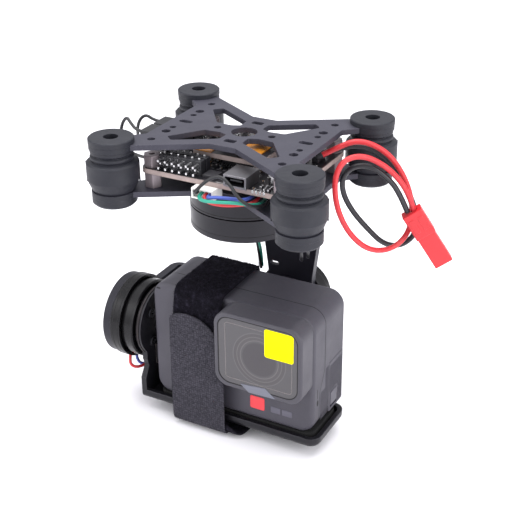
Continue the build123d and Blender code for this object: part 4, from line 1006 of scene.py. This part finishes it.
for _ in range(1500):
    if len(BUSY) > 240:
        break
    wide, deep, tall = rng.choice(CHIP_SIZES)
    if rng.random() < 0.5:
        wide, deep = deep, wide
    x, y = rng.uniform(-23.5, 24.5), rng.uniform(-21.2, 21.2)
    gap = 0.25
    box = (x - wide / 2 - gap, x + wide / 2 + gap, y - deep / 2 - gap, y + deep / 2 + gap)
    if any(box[0] < b[1] and box[1] > b[0] and box[2] < b[3] and box[3] > b[2] for b in BUSY):
        continue
    BUSY.append(box)
    body = lumps["tan" if rng.random() < 0.55 else "black"]
    along_x = wide >= deep
    cap = 0.22 * max(wide, deep)
    half = Vector((wide / 2, deep / 2))
    inner = half - Vector((cap, 0)) if along_x else half - Vector((0, cap))
    add_block(body, (x - inner.x, y - inner.y, BOARD_TOP), (x + inner.x, y + inner.y, BOARD_TOP + tall))
    for side in (-1, 1):
        off = Vector((side * (half.x - cap / 2), 0)) if along_x else Vector((0, side * (half.y - cap / 2)))
        reach = Vector((cap / 2, half.y)) if along_x else Vector((half.x, cap / 2))
        add_block(lumps["tin"], (x + off.x - reach.x, y + off.y - reach.y, BOARD_TOP),
                  (x + off.x + reach.x, y + off.y + reach.y, BOARD_TOP + tall + 0.03))
for k in range(9):
    for side in (-1, 1):
        add_block(lumps["tin"], (-4.2 + k * 0.98, -3.0 + side * 4.9 - 0.5, BOARD_TOP),
                  (-3.8 + k * 0.98, -3.0 + side * 4.9 + 0.5, BOARD_TOP + 0.25))
for column in range(6):
    x = -18.4 + 2.54 * column
    for y in (-18.4, -15.2):
        add_block(lumps["tin"], (x - 0.32, y - 0.32, -4.2), (x + 0.32, y + 0.32, -3.42), bevel=0.08)
    add_block(lumps["tin"], (x - 0.32, -21.4, -6.82), (x + 0.32, -19.5, -6.18), bevel=0.08)
for x, y in ((3.0, -21.3), (-20.2, 6.4), (15.4, -20.6), (22.0, -9.0)):
    add_block(lumps["silk"], (x - 1.4, y - 0.14, BOARD_TOP), (x + 1.4, y + 0.14, BOARD_TOP + 0.02))
for k in range(4):
    x = 14.4 + k * 1.27
    add_block(lumps["tin"], (x, -22.05, BOARD_TOP - 0.9), (x + 0.7, -20.9, BOARD_TOP + 0.12))
for word, material in (("tan", CERAMIC), ("black", CHIP), ("tin", TIN), ("silk", SILK)):
    from_bmesh(f"board_small_{word}", lumps[word], material, "lower_deck")
bm = bmesh.new()
for u0, u1, v0, v1, high in ((-11.8, -5.4, -12.0, -3.0, 0.4), (-1.6, 9.4, -6.4, 3.0, 0.45)):
    add_block(bm, (u0, v0, -3.95), (u1, v1, -3.95 + high), bevel=0.1)
from_bmesh("module_film", bm, AMBER, "lower_deck")
bm = bmesh.new()
for _ in range(46):
    x, y = rng.uniform(-11.6, 11.0), rng.uniform(-0.4, 3.6)
    add_block(bm, (x, y, -3.95), (x + 0.9, y + 0.5, -3.5))
from_bmesh("module_small_parts", bm, TIN, "lower_deck")

# -------- power plug trim
bm = bmesh.new()
PLUG_TOP = Vector((51.0, 17.5, -24.2))
PLUG_END = Vector((61.1, 23.0, -42.4))
AXIS = (PLUG_END - PLUG_TOP).normalized()
ACROSS = Vector((0.878, 0.478, 0.0))
ACROSS = (ACROSS - AXIS * ACROSS.dot(AXIS)).normalized()
DEEP = AXIS.cross(ACROSS)
TURN = Matrix((ACROSS, DEEP, AXIS)).transposed()
for s in (-1.55, 1.55):
    at = PLUG_TOP + AXIS * 4.6 + ACROSS * s
    for side in (-1, 1):
        middle = at + DEEP * side * 2.2
        add_block(bm, middle - Vector((0.9, 0.12, 2.6)), middle + Vector((0.9, 0.12, 2.6)), TURN, bevel=0.05)
from_bmesh("plug_catches", bm, NYLON_RED, "lower_deck")

# -------- floor and light
floor_mesh = bpy.data.meshes.new("floor")
FLOOR_Z = -0.1102
FLOOR_HALF = 4
floor_corners = [(x * FLOOR_HALF, y * FLOOR_HALF, FLOOR_Z) for x, y in ((-1, -1), (1, -1), (1, 1), (-1, 1))]
floor_mesh.from_pydata(floor_corners, [], [(0, 1, 2, 3)])
floor = bpy.data.objects.new("floor", floor_mesh)
bpy.context.scene.collection.objects.link(floor)
floor_graph = Graph("floor_paper")
floor_graph.set("Base Color", (0.93, 0.92, 0.95, 1.0))
floor_graph.set("Roughness", 0.85)
floor_mesh.materials.append(floor_graph.material)
floor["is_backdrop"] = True

world = bpy.data.worlds.new("studio")
world.use_nodes = True
world.node_tree.nodes["Background"].inputs["Color"].default_value = (0.96, 0.96, 1.0, 1.0)
world.node_tree.nodes["Background"].inputs["Strength"].default_value = 0.85
bpy.context.scene.world = world


def softbox(name, place, target, size, power, colour=(1.0, 1.0, 1.0)):
    data = bpy.data.lights.new(name, "AREA")
    data.shape = "RECTANGLE"
    data.size, data.size_y = size
    data.energy = power
    data.color = colour
    lamp = bpy.data.objects.new(name, data)
    lamp.location = place
    way = Vector(target) - Vector(place)
    lamp.rotation_mode = "QUATERNION"
    lamp.rotation_quaternion = way.to_track_quat("-Z", "Y")
    bpy.context.scene.collection.objects.link(lamp)


softbox("top_box", (0.0, 0.05, 0.75), (0, 0, -0.05), (0.9, 0.9), 9.0)
softbox("right_box", (0.75, -0.25, 0.25), (0, 0, -0.05), (0.5, 0.7), 4.0)
softbox("left_box", (-0.6, -0.5, 0.3), (0, 0, -0.05), (0.4, 0.7), 3.0)

low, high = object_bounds()
